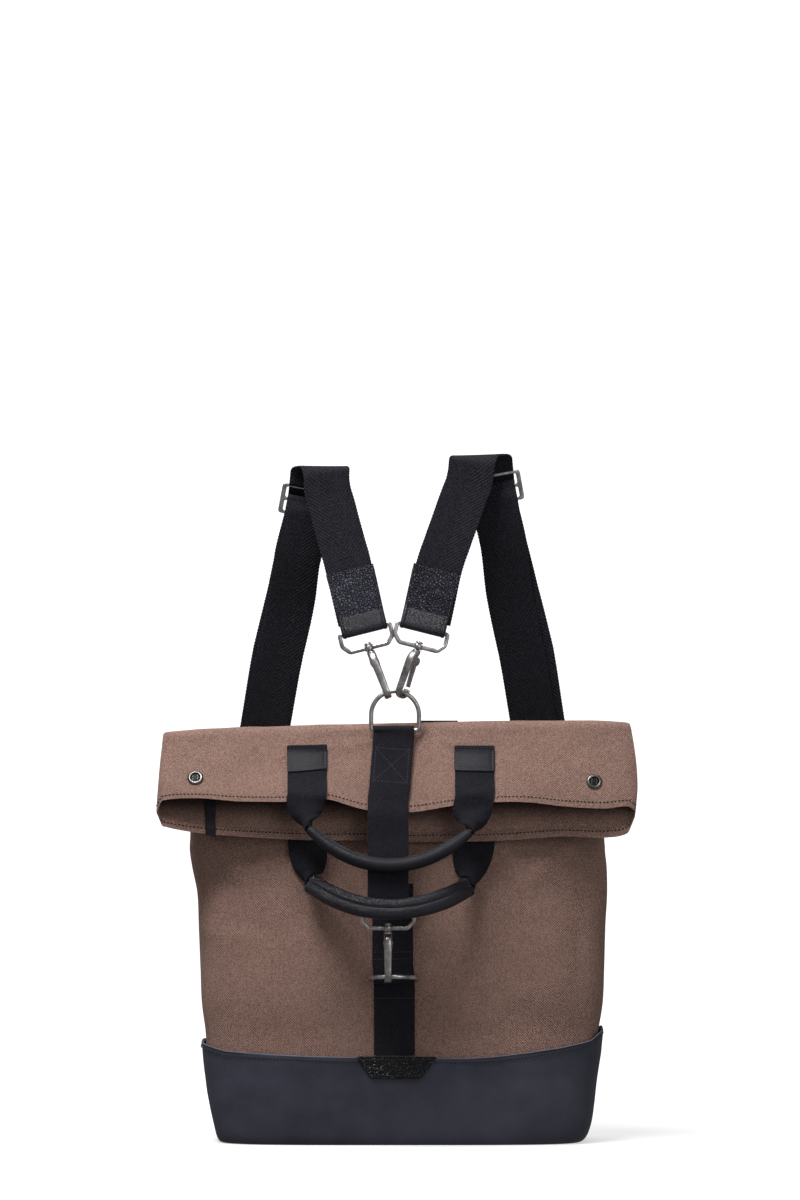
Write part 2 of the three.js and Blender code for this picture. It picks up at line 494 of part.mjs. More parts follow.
// Carry handles: webbing legs, rolled leather grips and sewn leather tabs.
function grip(name, ends, centreZ, centreY, endY) {
  const [xa, za, xb, zb] = ends;
  const path = smooth([[xa, endY, za], [lerp(xa, xb, 0.16), lerp(endY, centreY, 0.55), lerp(za, centreZ, 0.64)],
    [lerp(xa, xb, 0.34), lerp(endY, centreY, 0.96), lerp(za, centreZ, 0.93)],
    [lerp(xa, xb, 0.52), centreY, centreZ], [lerp(xa, xb, 0.7), lerp(endY, centreY, 0.9), lerp(zb, centreZ, 0.9)],
    [lerp(xa, xb, 0.87), lerp(endY, centreY, 0.55), lerp(zb, centreZ, 0.58)], [xb, endY, zb]], 3);
  piece(name, bar(path.map((p) => V(...p)), V(0, 1, 0), [2 * gripR, 2 * gripR - 1], false, 10), grainLeather);
  // Where each leg meets the grip, and its direction there.
  return [[path[0], path[1]], [path[path.length - 1], path[path.length - 2]]].map(([tip, next]) => {
    const away = V(...tip).sub(V(...next)).normalize();
    return { tip: V(...tip).addScaledVector(away, gap), neck: V(...tip).addScaledVector(away, 10) };
  });
}
function leg(name, rows) {
  piece(name, ribbon([...smooth(rows.slice(0, -1), 2), rows[rows.length - 1]]), webbing);
}
const legRow = (x, y, z, lean, width, thick) => [x, y, z, lean, 0, width, thick];
const legHalf = handleWidth / 2;
const gripFor = (name, h, endY) => grip(name, [h.tips[0] * bodyHalf, bagHeight + h.tips[1], h.tips[2] * bodyHalf,
  bagHeight + h.tips[3]], bagHeight + h.sag, h.reach - depthHalf, endY);
const legFoot = (x, y, z, { tip, neck }) => [
  legRow(lerp(x, neck.x, 0.4), lerp(y, neck.y, 0.5), lerp(z, neck.z, 0.5), (neck.x - x) * -0.6, handleWidth - 7,
    webThick + 1.4),
  legRow(neck.x, neck.y, neck.z, 0, 13, 6.4), legRow(tip.x, tip.y, tip.z, 0, 2 * gripR - 1, 7.6)];
const { front, lower } = handles;
const lowOnFlap = front.tabTop - 2 * tabHeight;
const frontEnds = gripFor('front_handle_grip', front, beforeFlap(front.left, lowOnFlap, legHalf, 0) - 10);
for (const [i, x] of [front.left, front.right].entries()) {
  const side = ['left', 'right'][i];
  const lipY = beforeFlap(x, lowOnFlap + 2, legHalf, lay) - 0.6;
  leg(`front_handle_leg_${side}`, [
    ...[3, 15, 29].map((down) => legRow(x, beforeFlap(x, front.tabTop - down, legHalf, lay), front.tabTop - down, 0,
      handleWidth, webThick)),
    legRow(x, lipY, lowOnFlap + 2, 0, handleWidth, webThick), ...legFoot(x, lipY, lowOnFlap + 2, frontEnds[i]),
  ]);
  patch(`front_handle_tab_${side}`, [1, 0.7, 0.37, 0].map((down) => [-17, -6, 6, 17].map((dx) => {
    const z = front.tabTop - tabHeight * down;
    return V(x + dx, beforeFlap(x, z, legHalf, lay) - webThick / 2 - gap - 0.2, z);
  })), patchThick, grainLeather);
}
const lowerLip = (x) => between(lipRows, 'x', x).lower;
const lowerEnds = gripFor('lower_handle_grip', lower, behindFlap(0, lowerLip(0) + 6, 10, 0) - 13);
for (const [i, x] of [lower.left, lower.right].entries()) {
  const lip = lowerLip(x) + 1.5;
  const under = (z) => behindFlap(x, z, legHalf + 1, lay) + 0.3;
  const lowY = under(lip + 4) - 0.2;
  leg(`lower_handle_leg_${['left', 'right'][i]}`, [
    ...[26, 15, 4].map((up) => legRow(x, under(lip + up), lip + up, 0, handleWidth + 2, webThick)),
    legRow(x, lowY, lip - 5.5, 0, handleWidth + 1, webThick), ...legFoot(x, lowY, lip - 5.5, lowerEnds[i]),
  ]);
}

// Shoulder straps: one webbing from the slider down round the lower ring, back up through the
// slider, over the crest and down into the leather end on the hook frame.
const local = (origin, up, out) => (n, l) => origin.clone().addScaledVector(out, n).addScaledVector(up, l);
const step = webThick + gap;
const loopR = 3.2;
const layerSlack = 0.8;
const belowLoop = [[-5.8, -33], [-5.8, -14], [-4.7, -7.4], [-1.8, -3.9]];
const weave = [[-3.2, -22], [-3.2, -12.6], [-2.7, -10.1], [-0.4, -8.4], [3.1, -5.2], [5.4, -2.4], [5.7, 0],
  [5.4, 2.4], [3.1, 5.2], [-0.4, 8], [-2.9, 9.8], [-3.4, 12.5]];
for (const [key, s] of Object.entries(straps)) {
  const wire = V(s.onRing, topRing[1], topRing[2] + ringLeg + Math.sqrt(ringHalf ** 2 - (s.onRing - topRing[0]) ** 2));
  const patchTop = V(...s.patch), crest = V(...s.crest), slider = V(...s.slider), lowRing = V(...s.ring);
  const hook = snapHook(`${key}_hook`, wire, V(...s.hookTop).sub(wire), s.hookTurn, patchTop);
  const leanFront = THREE.MathUtils.radToDeg(Math.atan2(-hook.out.x, hook.out.z));
  const face = hook.out.clone().cross(hook.across).normalize();
  if (face.y > 0) face.negate();

  // Slider frame: up along the strap, away from the viewer.
  const lean = s.leanBack, swing = -s.side * 14;
  const across = V(Math.cos(rad(lean)), 0, Math.sin(rad(lean)));
  const up = V(-Math.sin(rad(lean)), -0.12, Math.cos(rad(lean))).normalize();
  const near = local(slider, up, up.clone().cross(across).normalize().multiplyScalar(1));
  const row = (p, leanNow, swingNow = 0) => [p.x, p.y, p.z, leanNow, swingNow, strapWidth, webThick];
  const rows = belowLoop.map(([n, l]) => row(near(n, l), lean));
  for (let i = -2; i <= 6; i++) rows.push(row(near(loopR * Math.cos(rad(30 * i)), loopR * Math.sin(rad(30 * i))), lean));
  rows.push(...[[-6.9, -7], [-8.2, -16], [-8.2, -40]].map(([n, l]) => row(near(n, l), lean)));

  // Two layers down the back of the bag, turning a little round its lower corner.
  const ringAcross = V(Math.cos(rad(lean)) * Math.cos(rad(swing)), Math.sin(rad(swing)), Math.sin(rad(lean))).normalize();
  const ringUp = V(0, 0, 1).addScaledVector(ringAcross, -ringAcross.z).normalize();
  const atRing = local(lowRing, ringUp, ringUp.clone().cross(ringAcross).normalize());
  const run = (z, layer, off) => {
    const k = (z - lowRing.z) / (slider.z - lowRing.z);
    return row(V(lerp(lowRing.x, slider.x, k ** 0.86) + off * clamp(4 * k, 0, 1), lerp(lowRing.y, slider.y - 5, clamp((k - 0.3) / 0.7, 0, 1))
      + 6 * Math.sin(Math.PI * clamp(k * 1.6, 0, 1)) + layer, z), lean, swing * clamp(1 - 5 * k, 0, 1));
  };
  const climb = [0.811, 0.632, 0.454, 0.298, 0.2, 0.13, 0.065].map((k) => lerp(lowRing.z, slider.z, k));
  for (const z of climb) rows.push(run(z, -step / 2 - layerSlack, 0));
  for (let i = 0; i <= 6; i++) {
    const a = rad(180 + 30 * i);
    rows.push(row(atRing(barLoop(wireR) * Math.cos(a), 7 + barLoop(wireR) * Math.sin(a)), lean, swing));
  }
  for (const z of climb.reverse()) rows.push(run(z, step / 2 + layerSlack, s.second));
  rows.push(...weave.map(([n, l]) => row(near(n, l), lean)));
  rows.push(row(near(-5.4, 16), lean * 0.9), row(near(-8.6, 19.6).lerp(crest, 0.3), lean * 0.6), row(crest, 0),
    row(crest.clone().add(V(-s.side * 2.4, -5, -3.4)), leanFront * 0.5));
  for (const k of [0.12, 0.3, 0.5, 0.75]) rows.push(row(crest.clone().lerp(patchTop, k).add(V(0, -5 * (1 - k), 0)), leanFront));
  const end = local(hook.top, hook.out, face);
  rows.push(row(end(0, 53), leanFront), row(end(0, 30), leanFront), row(end(0, 7), leanFront));
  piece(`shoulder_strap_${key}`, ribbon(rows, true), webbing);

  // Leather end: pebbled patch in front, folded round the frame's bar, sewn up the back.
  const apart = webThick / 2 + gap + patchThick / 2;
  const turnR = 1.6 + gap + patchThick / 2;
  const leather = [[apart, 52.5], [apart, 30], [apart, 14], [turnR, 6],
    ...arc(0, 0, turnR, 0, -180, 6), [-turnR, 6], [-apart, 14], [-apart, 30], [-apart, 50]];
  piece(`strap_leather_${key}`, ribbon(leather.map(([n, l]) => {
    const p = end(n, l);
    return [p.x, p.y, p.z, leanFront, 0, strapWidth + 1, patchThick];
  })), grainLeather);

  // Slider: flat plate with two slots.
  const plate = new THREE.Shape();
  for (const [i, [a, b]] of [[-24.5, -13], [24.5, -13], [26, -11], [26, 11], [24.5, 13], [-24.5, 13], [-26, 11],
    [-26, -11]].entries()) plate[i ? 'lineTo' : 'moveTo'](a, b);
  for (const f of [-1, 1]) {
    const slot = new THREE.Path();
    for (const [i, [a, b]] of [[-20.2, 1.3], [20.2, 1.3], [20.2, 10.4], [-20.2, 10.4]].entries()) slot[i ? 'lineTo' : 'moveTo'](a, f * b);
    plate.holes.push(slot);
  }
  const plateAt = new THREE.Matrix4().makeBasis(across, up, across.clone().cross(up)).setPosition(slider);
  piece(`slider_${key}`, welded(new THREE.ExtrudeGeometry(plate, { depth: 2.6, bevelEnabled: false })
    .translate(0, 0, -1.3).applyMatrix4(plateAt)), nickel);

  // Rectangular ring and sewn tab at the lower back corner.
  const rect = [[-21.2, -7], [21.2, -7], [22.4, -5.6], [22.4, 5.6], [21.2, 7], [-21.2, 7], [-22.4, 5.6], [-22.4, -5.6]];
  piece(`strap_ring_${key}`, bar(rect.map(([a, h]) => atRing(0, h).addScaledVector(ringAcross, a)),
    ringAcross.clone().cross(ringUp), [2 * wireR, 2 * wireR], true), nickel);
  const tabR = wireR + gap + patchThick / 2;
  const tab = [[-tabR, -38], [-tabR, -20], ...arc(0, -7, tabR, 180, 0, 6), [-tabR + patchThick + gap, -20],
    [-tabR + patchThick + gap, -38]];
  piece(`strap_tab_${key}`, ribbon(tab.map(([n, l]) => {
    const p = atRing(n, l);
    return [p.x, p.y, p.z, lean, swing, strapWidth - 2, patchThick];
  })), grainLeather);
}

// Snap sockets near both ends of the flap, and the zip pull hanging out of the mouth.
for (const [key, x, z] of [['left', -0.8368, -43.8], ['right', 0.8206, -47.3]]) {
  const { p, n } = onTube('back', x * flapHalf, bagHeight + z, foldEnd - 3, lipRow, gap + 0.1);
  const profile = [[3.9, 0], [7.2, 0], [7.2, 0.9], [6.2, 1.7], [4.6, 1.7], [3.9, 1], [3.9, 0]];
  const ring = new THREE.LatheGeometry(profile.map(([a, b]) => new THREE.Vector2(a, b)), 20);
  const turn = new THREE.Quaternion().setFromUnitVectors(V(0, 1, 0), n);
  piece(`snap_ring_${key}`, welded(ring.applyQuaternion(turn).translate(p.x, p.y, p.z)), nickel);
}
const pullX = -0.7745 * flapHalf;
const pullLip = between(lipRows, 'x', pullX).lower;
const mouth = (z) => onTube('front', pullX, Math.max(z, pullLip + 2), foldEnd, lipRow, -canvasWall - lay - 0.5).p.y;
piece('zip_pull', ribbon([28, 18, 10, 4, -3].map((up) => [pullX, mouth(pullLip + up), pullLip + up, 2, 0, 8.4, patchThick])),
  grainLeather);

// Centre the pack over the origin, standing on z = 0.
const box = new THREE.Box3().setFromObject(pack);
const middle = box.getCenter(V(0, 0, 0));
pack.position.set(-middle.x, -middle.y, 0);
pack.updateMatrixWorld(true);

export default pack;
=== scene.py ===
import math

import bmesh
import bpy
import numpy as np
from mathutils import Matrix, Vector, noise
from mathutils.bvhtree import BVHTree


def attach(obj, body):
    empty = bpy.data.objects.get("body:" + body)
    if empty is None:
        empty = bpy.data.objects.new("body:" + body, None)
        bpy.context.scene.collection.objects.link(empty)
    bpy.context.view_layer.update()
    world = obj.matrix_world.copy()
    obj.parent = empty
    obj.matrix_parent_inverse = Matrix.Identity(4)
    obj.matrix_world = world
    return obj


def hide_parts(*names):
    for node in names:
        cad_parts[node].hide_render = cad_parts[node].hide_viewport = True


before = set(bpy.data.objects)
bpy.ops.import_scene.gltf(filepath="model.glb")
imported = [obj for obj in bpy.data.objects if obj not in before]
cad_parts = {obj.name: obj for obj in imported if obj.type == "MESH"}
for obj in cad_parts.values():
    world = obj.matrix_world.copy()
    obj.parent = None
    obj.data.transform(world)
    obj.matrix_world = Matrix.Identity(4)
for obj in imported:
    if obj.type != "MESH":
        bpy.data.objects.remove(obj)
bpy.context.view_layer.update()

# Camera. The photograph looks at the bag from straight in front and a little above, through a long
# lens, with the bag low in a tall frame of 800 by 1200.
PHOTO_PIXEL = 0.000847
CAMERA_AWAY = 8.0
CAMERA_RISE = math.radians(2.0)
CAMERA_AIM = Vector((0.0024, -0.045, 0.465))
lens = bpy.data.cameras.new("camera")
lens.sensor_width = 36
lens.lens = 36 * CAMERA_AWAY / (1200 * PHOTO_PIXEL)
lens.dof.use_dof = False
lens.clip_end = 60
camera = bpy.data.objects.new("camera", lens)
camera.location = CAMERA_AIM + CAMERA_AWAY * Vector((0, -math.cos(CAMERA_RISE), math.sin(CAMERA_RISE)))
camera.rotation_euler = (math.pi / 2 - CAMERA_RISE, 0, 0)
bpy.context.collection.objects.link(camera)
bpy.context.scene.camera = camera


# Canvas. Two panels of heavy cotton twill sewn at the sides make one tube, which stands in the
# leather base, folds forward once at the top and hangs down with its open mouth below.
MM = 0.001
MIDDLE = np.array([-0.306, 24.343, 0.0])      # from the tables' own zero to the row's frame
FOLD_START, FOLD_END = 12, 18
CANVAS_WALL = 2.0
LIP_SEAM = 285.0
#   z, y, left, right, front, back, power of the rounding, turn over the fold in degrees, share of lip
TUBE_ROWS = np.array([
    (60, -2.016, -160.8, 167.8, 53.15, 51.65, 4.4, 0, 0),
    (80, -2.016, -162.6, 170.4, 53.85, 52.35, 4.4, 0, 0),
    (96, -2.016, -163.6, 172.3, 54.25, 52.65, 4.4, 0, 0),
    (120, -2, -166.7, 176.1, 57, 55, 4.2, 0, 0),
    (150, -2, -167.9, 177.3, 57.6, 55, 4, 0, 0),
    (185, -2, -169.3, 178.3, 57.4, 54, 3.7, 0, 0),
    (212, -2.4, -170.5, 179.8, 56, 51.6, 3.4, 0, 0),
    (234, -4, -174.8, 179.4, 53, 48, 3.1, 0, 0),
    (250, -5, -177.0, 177.9, 50, 44, 2.9, 0, 0),
    (270, -8, -177.0, 177.9, 43.5, 38.5, 2.8, 0, 0),
    (300, -14, -185, 186, 31, 29, 2.7, 0, 0),
    (325, -21, -192, 191, 17.5, 17, 2.7, 0, 0),
    *[(346.2 + 8 * math.sin(math.radians(30 * i)), -34 + 8 * math.cos(math.radians(30 * i)),
       -197.4 - 0.35 * i, 195.6 + 0.75 * i, 4.6, 4.6, 3, 30 * i, 0) for i in range(7)],
    (326, -51, -201.5, 203.4, 6.2, 7, 2.8, 180, 0.2),
    (306, -60, -202.8, 204.4, 8.6, 9.6, 2.6, 180, 0.5),
    (294, -65, -203.6, 203.4, 10, 11, 2.4, 180, 0.8),
    (285, -68, -203.8, 202, 10.6, 12, 2.3, 180, 1),
], float)
LIP_ROW = len(TUBE_ROWS) - 1
#   x, upper lip, lower lip
LIP_ROWS = np.array([
    (-204, 285, 284.5), (-199, 295, 273), (-169, 297.5, 267), (-135, 295, 264), (-95, 294.5, 261.5),
    (-61, 297, 260.5), (-26, 287.5, 260.5), (11, 285.5, 259), (46, 291, 259.5), (83, 294, 260),
    (112, 294, 262), (141, 290.5, 264), (176, 288.5, 263), (196, 290, 267), (204, 285, 284.5)], float)
#   x, z, spread in x and z, push of the front panel and of the back panel
DENTS = [(-150, 222, 34, 12, -3, -2), (-128, 150, 26, 60, 1.6, 1.4), (-60, 236, 44, 16, -1.8, -2),
         (70, 225, 52, 14, -1.6, 1.5), (132, 165, 30, 60, 1.8, 1.4), (30, 130, 60, 26, 1.2, -1.6)]
#   folds of the body's front: from x, z to x, z, half width and height
BODY_FOLDS = [(-158, 262, -128, 222, 7, 2.2), (-140, 262, -118, 236, 6, -1.4), (150, 258, 108, 222, 9, 2.6),
              (122, 262, 84, 240, 8, -1.6), (22, 262, 40, 226, 12, 2.0), (-52, 256, -40, 224, 11, 1.8),
              (158, 215, 154, 110, 8, -1.4), (-150, 205, -152, 120, 8, 1.0), (-166, 182, -120, 176, 9, 1.2),
              (70, 190, 120, 160, 16, 0.9), (-90, 170, -30, 140, 20, 0.8), (60, 130, 130, 104, 14, -0.8)]
FLAP_FOLDS = [(-18, 345, -62, 338, 4, 1.1), (16, 347, 60, 341, 4, 1.2), (24, 341, 46, 326, 6, 0.8),
              (-120, 350, -150, 322, 12, 1.0), (128, 345, 160, 318, 12, 1.2), (186, 345, 196, 318, 7, 1.2),
              (-40, 332, -36, 300, 9, -0.8), (30, 318, 34, 292, 8, -0.8), (-186, 340, -192, 306, 8, 0.9)]


def smooth_rows(rows, at):
    """Table rows at any place between them, on a smooth curve."""
    i = np.clip(np.floor(at).astype(int), 0, len(rows) - 2)
    t = (at - i)[:, None]
    a, b = rows[i], rows[i + 1]
    ma = (b - rows[np.maximum(i - 1, 0)]) / 2
    mb = (rows[np.minimum(i + 2, len(rows) - 1)] - a) / 2
    return ((2 * t**3 - 3 * t**2 + 1) * a + (t**3 - 2 * t**2 + t) * ma
            + (3 * t**2 - 2 * t**3) * b + (t**3 - t**2) * mb)


def smooth_table(rows, x):
    """A table's other columns over its first column, on a smooth curve."""
    return smooth_rows(rows, np.interp(x, rows[:, 0], np.arange(len(rows))))[:, 1:]


THIN_EDGE, SEAM_ZONE, SEAM_CLOSING = 0.18, 0.03, 0.24


def canvas_points(side, s, share, inset=0.0):
    """Points of one panel: s runs up the tube by table rows, share from seam to seam."""
    r = smooth_rows(TUBE_ROWS, s)
    z, y, left, right, front, back, power, turn, lip = r.T
    turn = np.radians(np.clip(turn, 0, 180))
    lip = np.clip(lip, 0, 1)
    x = (left + right) / 2 + ((right - left) / 2 - inset) * share
    room = (back if side == "back" else front) - inset
    depth = np.maximum(room * (1 - np.minimum(np.abs(share), 1) ** power) ** (1 / power), THIN_EDGE)
    depth -= SEAM_CLOSING * np.clip((np.abs(share) - (1 - SEAM_ZONE)) / SEAM_ZONE, 0, 1)
    push = sum((d[5] if side == "back" else d[4]) * np.exp(-((x - d[0]) / d[2])**2 - ((z - d[1]) / d[3])**2)
               for d in DENTS)
    dented = depth + np.where(s < FOLD_START, push * np.minimum(1, depth / 20), 0)
    reach = dented * (1 if side == "back" else -1)
    lips = smooth_table(LIP_ROWS, np.clip(x, LIP_ROWS[0, 0], LIP_ROWS[-1, 0]))
    rise = np.clip((s - FOLD_START + 3) / 3, 0, 1) * (1 - lip) * 0.021 * x
    z = z + np.sin(turn) * reach + lip * (lips[:, 0 if side == "back" else 1] - LIP_SEAM) + rise
    return np.stack([x, y + np.cos(turn) * reach, z], 1)


def fold_height(folds, x, z):
    """Height of the cloth's soft folds, each a ridge along a line that fades at both ends."""
    total = np.zeros_like(x)
    for x0, z0, x1, z1, width, height in folds:
        along = np.array([x1 - x0, z1 - z0], float)
        length = np.linalg.norm(along)
        along /= length
        t = ((x - x0) * along[0] + (z - z0) * along[1]) / length
        off = (x - x0) * along[1] - (z - z0) * along[0]
        fade = np.exp(-np.clip(np.abs(t - 0.5) - 0.35, 0, None)**2 / 0.05)
        total += height * np.exp(-(off / width)**2) * fade
    return total


def quads(index):
    """Four-sided faces between the neighbours in a grid of point numbers."""
    return np.stack([index[:-1, :-1], index[:-1, 1:], index[1:, 1:], index[1:, :-1]], -1).reshape(-1, 4)


def grid_normals(grid):
    """Unit normals of a grid of points."""
    down = np.gradient(grid, axis=0)
    over = np.gradient(grid, axis=1)
    n = np.cross(down, over)
    return n / np.maximum(np.linalg.norm(n, axis=2, keepdims=True), 1e-9)


def shell(outer, inner):
    """A closed sheet between two grids of points, with its four edges."""
    rows, columns = outer.shape[:2]
    a = np.arange(rows * columns).reshape(rows, columns)
    sheet = quads(a)
    sides = []
    for edge in (a[0, ::-1], a[:, -1][::-1], a[-1], a[:, 0]):
        under = edge + a.size
        sides.append(np.stack([edge[:-1], edge[1:], under[1:], under[:-1]], -1))
    faces = np.concatenate([sheet, sheet[:, ::-1] + a.size, *sides])
    return np.concatenate([outer.reshape(-1, 3), inner.reshape(-1, 3)]), faces


def loft(rings, closed=False):
    """A closed skin through rings of points. Its ends are capped unless it runs round on itself."""
    rings = np.asarray(rings, float)
    count, sides = rings.shape[:2]
    index = np.arange(count * sides).reshape(count, sides)
    walk = np.concatenate([index, index[:1]]) if closed else index
    walk = np.concatenate([walk, walk[:, :1]], 1)
    faces = quads(walk).tolist()
    if not closed:
        faces += [index[0][::-1].tolist(), index[-1].tolist()]
    return rings.reshape(-1, 3), faces


def oriented(points, faces):
    """The faces of a closed skin, turned so that their normals point out."""
    points = np.asarray(points, float).reshape(-1, 3)
    corners = np.array([(f[0], f[i], f[i + 1]) for f in faces for i in range(1, len(f) - 1)])
    a, b, c = (points[corners[:, k]] for k in range(3))
    return faces if np.sum(a * np.cross(b, c)) > 0 else [list(f)[::-1] for f in faces]


SHARP_FROM = math.radians(50)


def make_mesh(name, points, faces, material, uv=None):
    """An object whose place is in its mesh. points are millimetres on the tables' own zero."""
    mesh = bpy.data.meshes.new(name)
    mesh.from_pydata(((np.asarray(points) + MIDDLE) * MM).tolist(), [], [list(map(int, f)) for f in faces])
    if uv is not None:
        layer = mesh.uv_layers.new(name="cloth")
        corner = np.zeros(len(mesh.loops), int)
        mesh.loops.foreach_get("vertex_index", corner)
        layer.data.foreach_set("uv", (np.asarray(uv) * MM)[corner].astype(np.float32).ravel())
    mesh.polygons.foreach_set("use_smooth", [True] * len(mesh.polygons))
    mesh.set_sharp_from_angle(angle=SHARP_FROM)
    mesh.materials.append(material)
    made = bpy.data.objects.new(name, mesh)
    bpy.context.collection.objects.link(made)
    return made


def on_bag(made, slot, node=None):
    """The piece rides on the bag, in the place of a CAD node if one is given."""
    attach(made, "bag")
    if node:
        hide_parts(node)
    return made


def node_kit(tree):
    """Short calls for building a node tree."""
    def add(kind, **values):
        node = tree.nodes.new(kind)
        inputs = values.pop("inputs", {})
        for key, value in values.items():
            setattr(node, key, value)
        for key, value in inputs.items():
            if isinstance(value, bpy.types.NodeSocket):
                tree.links.new(value, node.inputs[key])
            else:
                node.inputs[key].default_value = value
        return node

    def maths(operation, a, b=0.0, c=0.0):
        return add("ShaderNodeMath", operation=operation, inputs={0: a, 1: b, 2: c}).outputs[0]

    def mix(fac, a, b):
        node = tree.nodes.new("ShaderNodeMix")
        node.data_type = "RGBA"
        for socket, value in ((node.inputs[0], fac), (node.inputs[6], a), (node.inputs[7], b)):
            if isinstance(value, bpy.types.NodeSocket):
                tree.links.new(value, socket)
            else:
                socket.default_value = value
        return node.outputs[2]

    def spread(value, low, high, to_low=0.0, to_high=1.0):
        return add("ShaderNodeMapRange", inputs={0: value, 1: low, 2: high, 3: to_low, 4: to_high}).outputs[0]
    return add, maths, mix, spread


def shader_group(name, inputs, outputs):
    """An empty shader node group with named sockets, and its node calls."""
    group = bpy.data.node_groups.new(name, "ShaderNodeTree")
    for label, kind, value in inputs:
        socket = group.interface.new_socket(label, in_out="INPUT", socket_type=kind)
        if value is not None:
            socket.default_value = value
    for label, kind in outputs:
        group.interface.new_socket(label, in_out="OUTPUT", socket_type=kind)
    return group, group.nodes.new("NodeGroupInput"), group.nodes.new("NodeGroupOutput"), node_kit(group)


def weave_group():
    """Twill: raised threads in diagonal steps. Chevron 1 mirrors the diagonal about the middle."""
    group, given, out, (add, maths, mix, spread) = shader_group(
        "twill_weave",
        [("Cloth", "NodeSocketVector", None), ("Thread", "NodeSocketFloat", 0.0008),
         ("Chevron", "NodeSocketFloat", 0.0), ("Unevenness", "NodeSocketFloat", 0.3)],
        [("Height", "NodeSocketFloat"), ("Shade", "NodeSocketFloat"), ("Slub", "NodeSocketFloat")])
    link = group.links.new
    cloth = given.outputs["Cloth"]
    wander = add("ShaderNodeTexNoise", inputs={"Vector": cloth, "Scale": 160.0, "Detail": 1.0})
    moved = add("ShaderNodeVectorMath", operation="MULTIPLY_ADD",
                inputs={0: wander.outputs["Color"], 1: (0.0004, 0.0004, 0), 2: cloth}).outputs[0]
    parts = add("ShaderNodeSeparateXYZ", inputs={0: moved})
    across, along = parts.outputs[0], parts.outputs[1]
    mirrored = maths("ABSOLUTE", across)
    across = add("ShaderNodeMix", inputs={0: given.outputs["Chevron"], 2: across, 3: mirrored}).outputs[0]
    u = maths("DIVIDE", across, given.outputs["Thread"])
    v = maths("DIVIDE", along, given.outputs["Thread"])
    column, row = maths("FLOOR", u), maths("FLOOR", v)
    step = maths("MODULO", maths("ADD", maths("ADD", column, row), 4000.0), 3.0)
    over = maths("GREATER_THAN", step, 0.5)
    in_u = maths("SUBTRACT", maths("FRACT", u), 0.5)
    in_v = maths("SUBTRACT", maths("FRACT", v), 0.5)
    warp = maths("SUBTRACT", 1.0, maths("MULTIPLY", maths("MULTIPLY", in_u, in_u), 3.4))
    weft = maths("SUBTRACT", 0.72, maths("MULTIPLY", maths("MULTIPLY", in_v, in_v), 3.4))
    crown = maths("MULTIPLY", maths("SINE", maths("MULTIPLY", maths("ADD", u, v), 2.0944)), 0.34)
    height = maths("ADD", add("ShaderNodeMix", inputs={0: over, 2: weft, 3: warp}).outputs[0], crown)
    each = add("ShaderNodeTexWhiteNoise", noise_dimensions="2D",
               inputs={"Vector": add("ShaderNodeCombineXYZ", inputs={0: column, 1: row}).outputs[0]})
    streaks = []
    for scale in ((900, 40, 1), (40, 900, 1)):
        drawn = add("ShaderNodeMapping", inputs={"Vector": cloth, "Scale": scale}).outputs[0]
        streak = add("ShaderNodeTexNoise", inputs={"Vector": drawn, "Scale": 1.0, "Detail": 2.0})
        streaks.append(streak.outputs[0])
    blend = add("ShaderNodeMix", inputs={0: over, 2: streaks[1], 3: streaks[0]}).outputs[0]
    uneven = maths("SUBTRACT", each.outputs[0], 0.5)
    # Shade: thread height as painted shade between the threads and along the diagonals, plus each thread's
    # own random tone.
    shade = maths("MULTIPLY_ADD", uneven, given.outputs["Unevenness"], height)
    link(height, out.inputs["Height"])
    link(shade, out.inputs["Shade"])
    link(blend, out.inputs["Slub"])
    return group


TWILL = weave_group()


def principled(name, **values):
    """A material with one Principled BSDF: plain numbers go on its own sockets."""
    material = bpy.data.materials.new(name)
    material.use_nodes = True
    bsdf = material.node_tree.nodes["Principled BSDF"]
    for key, value in values.items():
        bsdf.inputs[key.replace("_", " ")].default_value = value
    return material, bsdf, node_kit(material.node_tree)


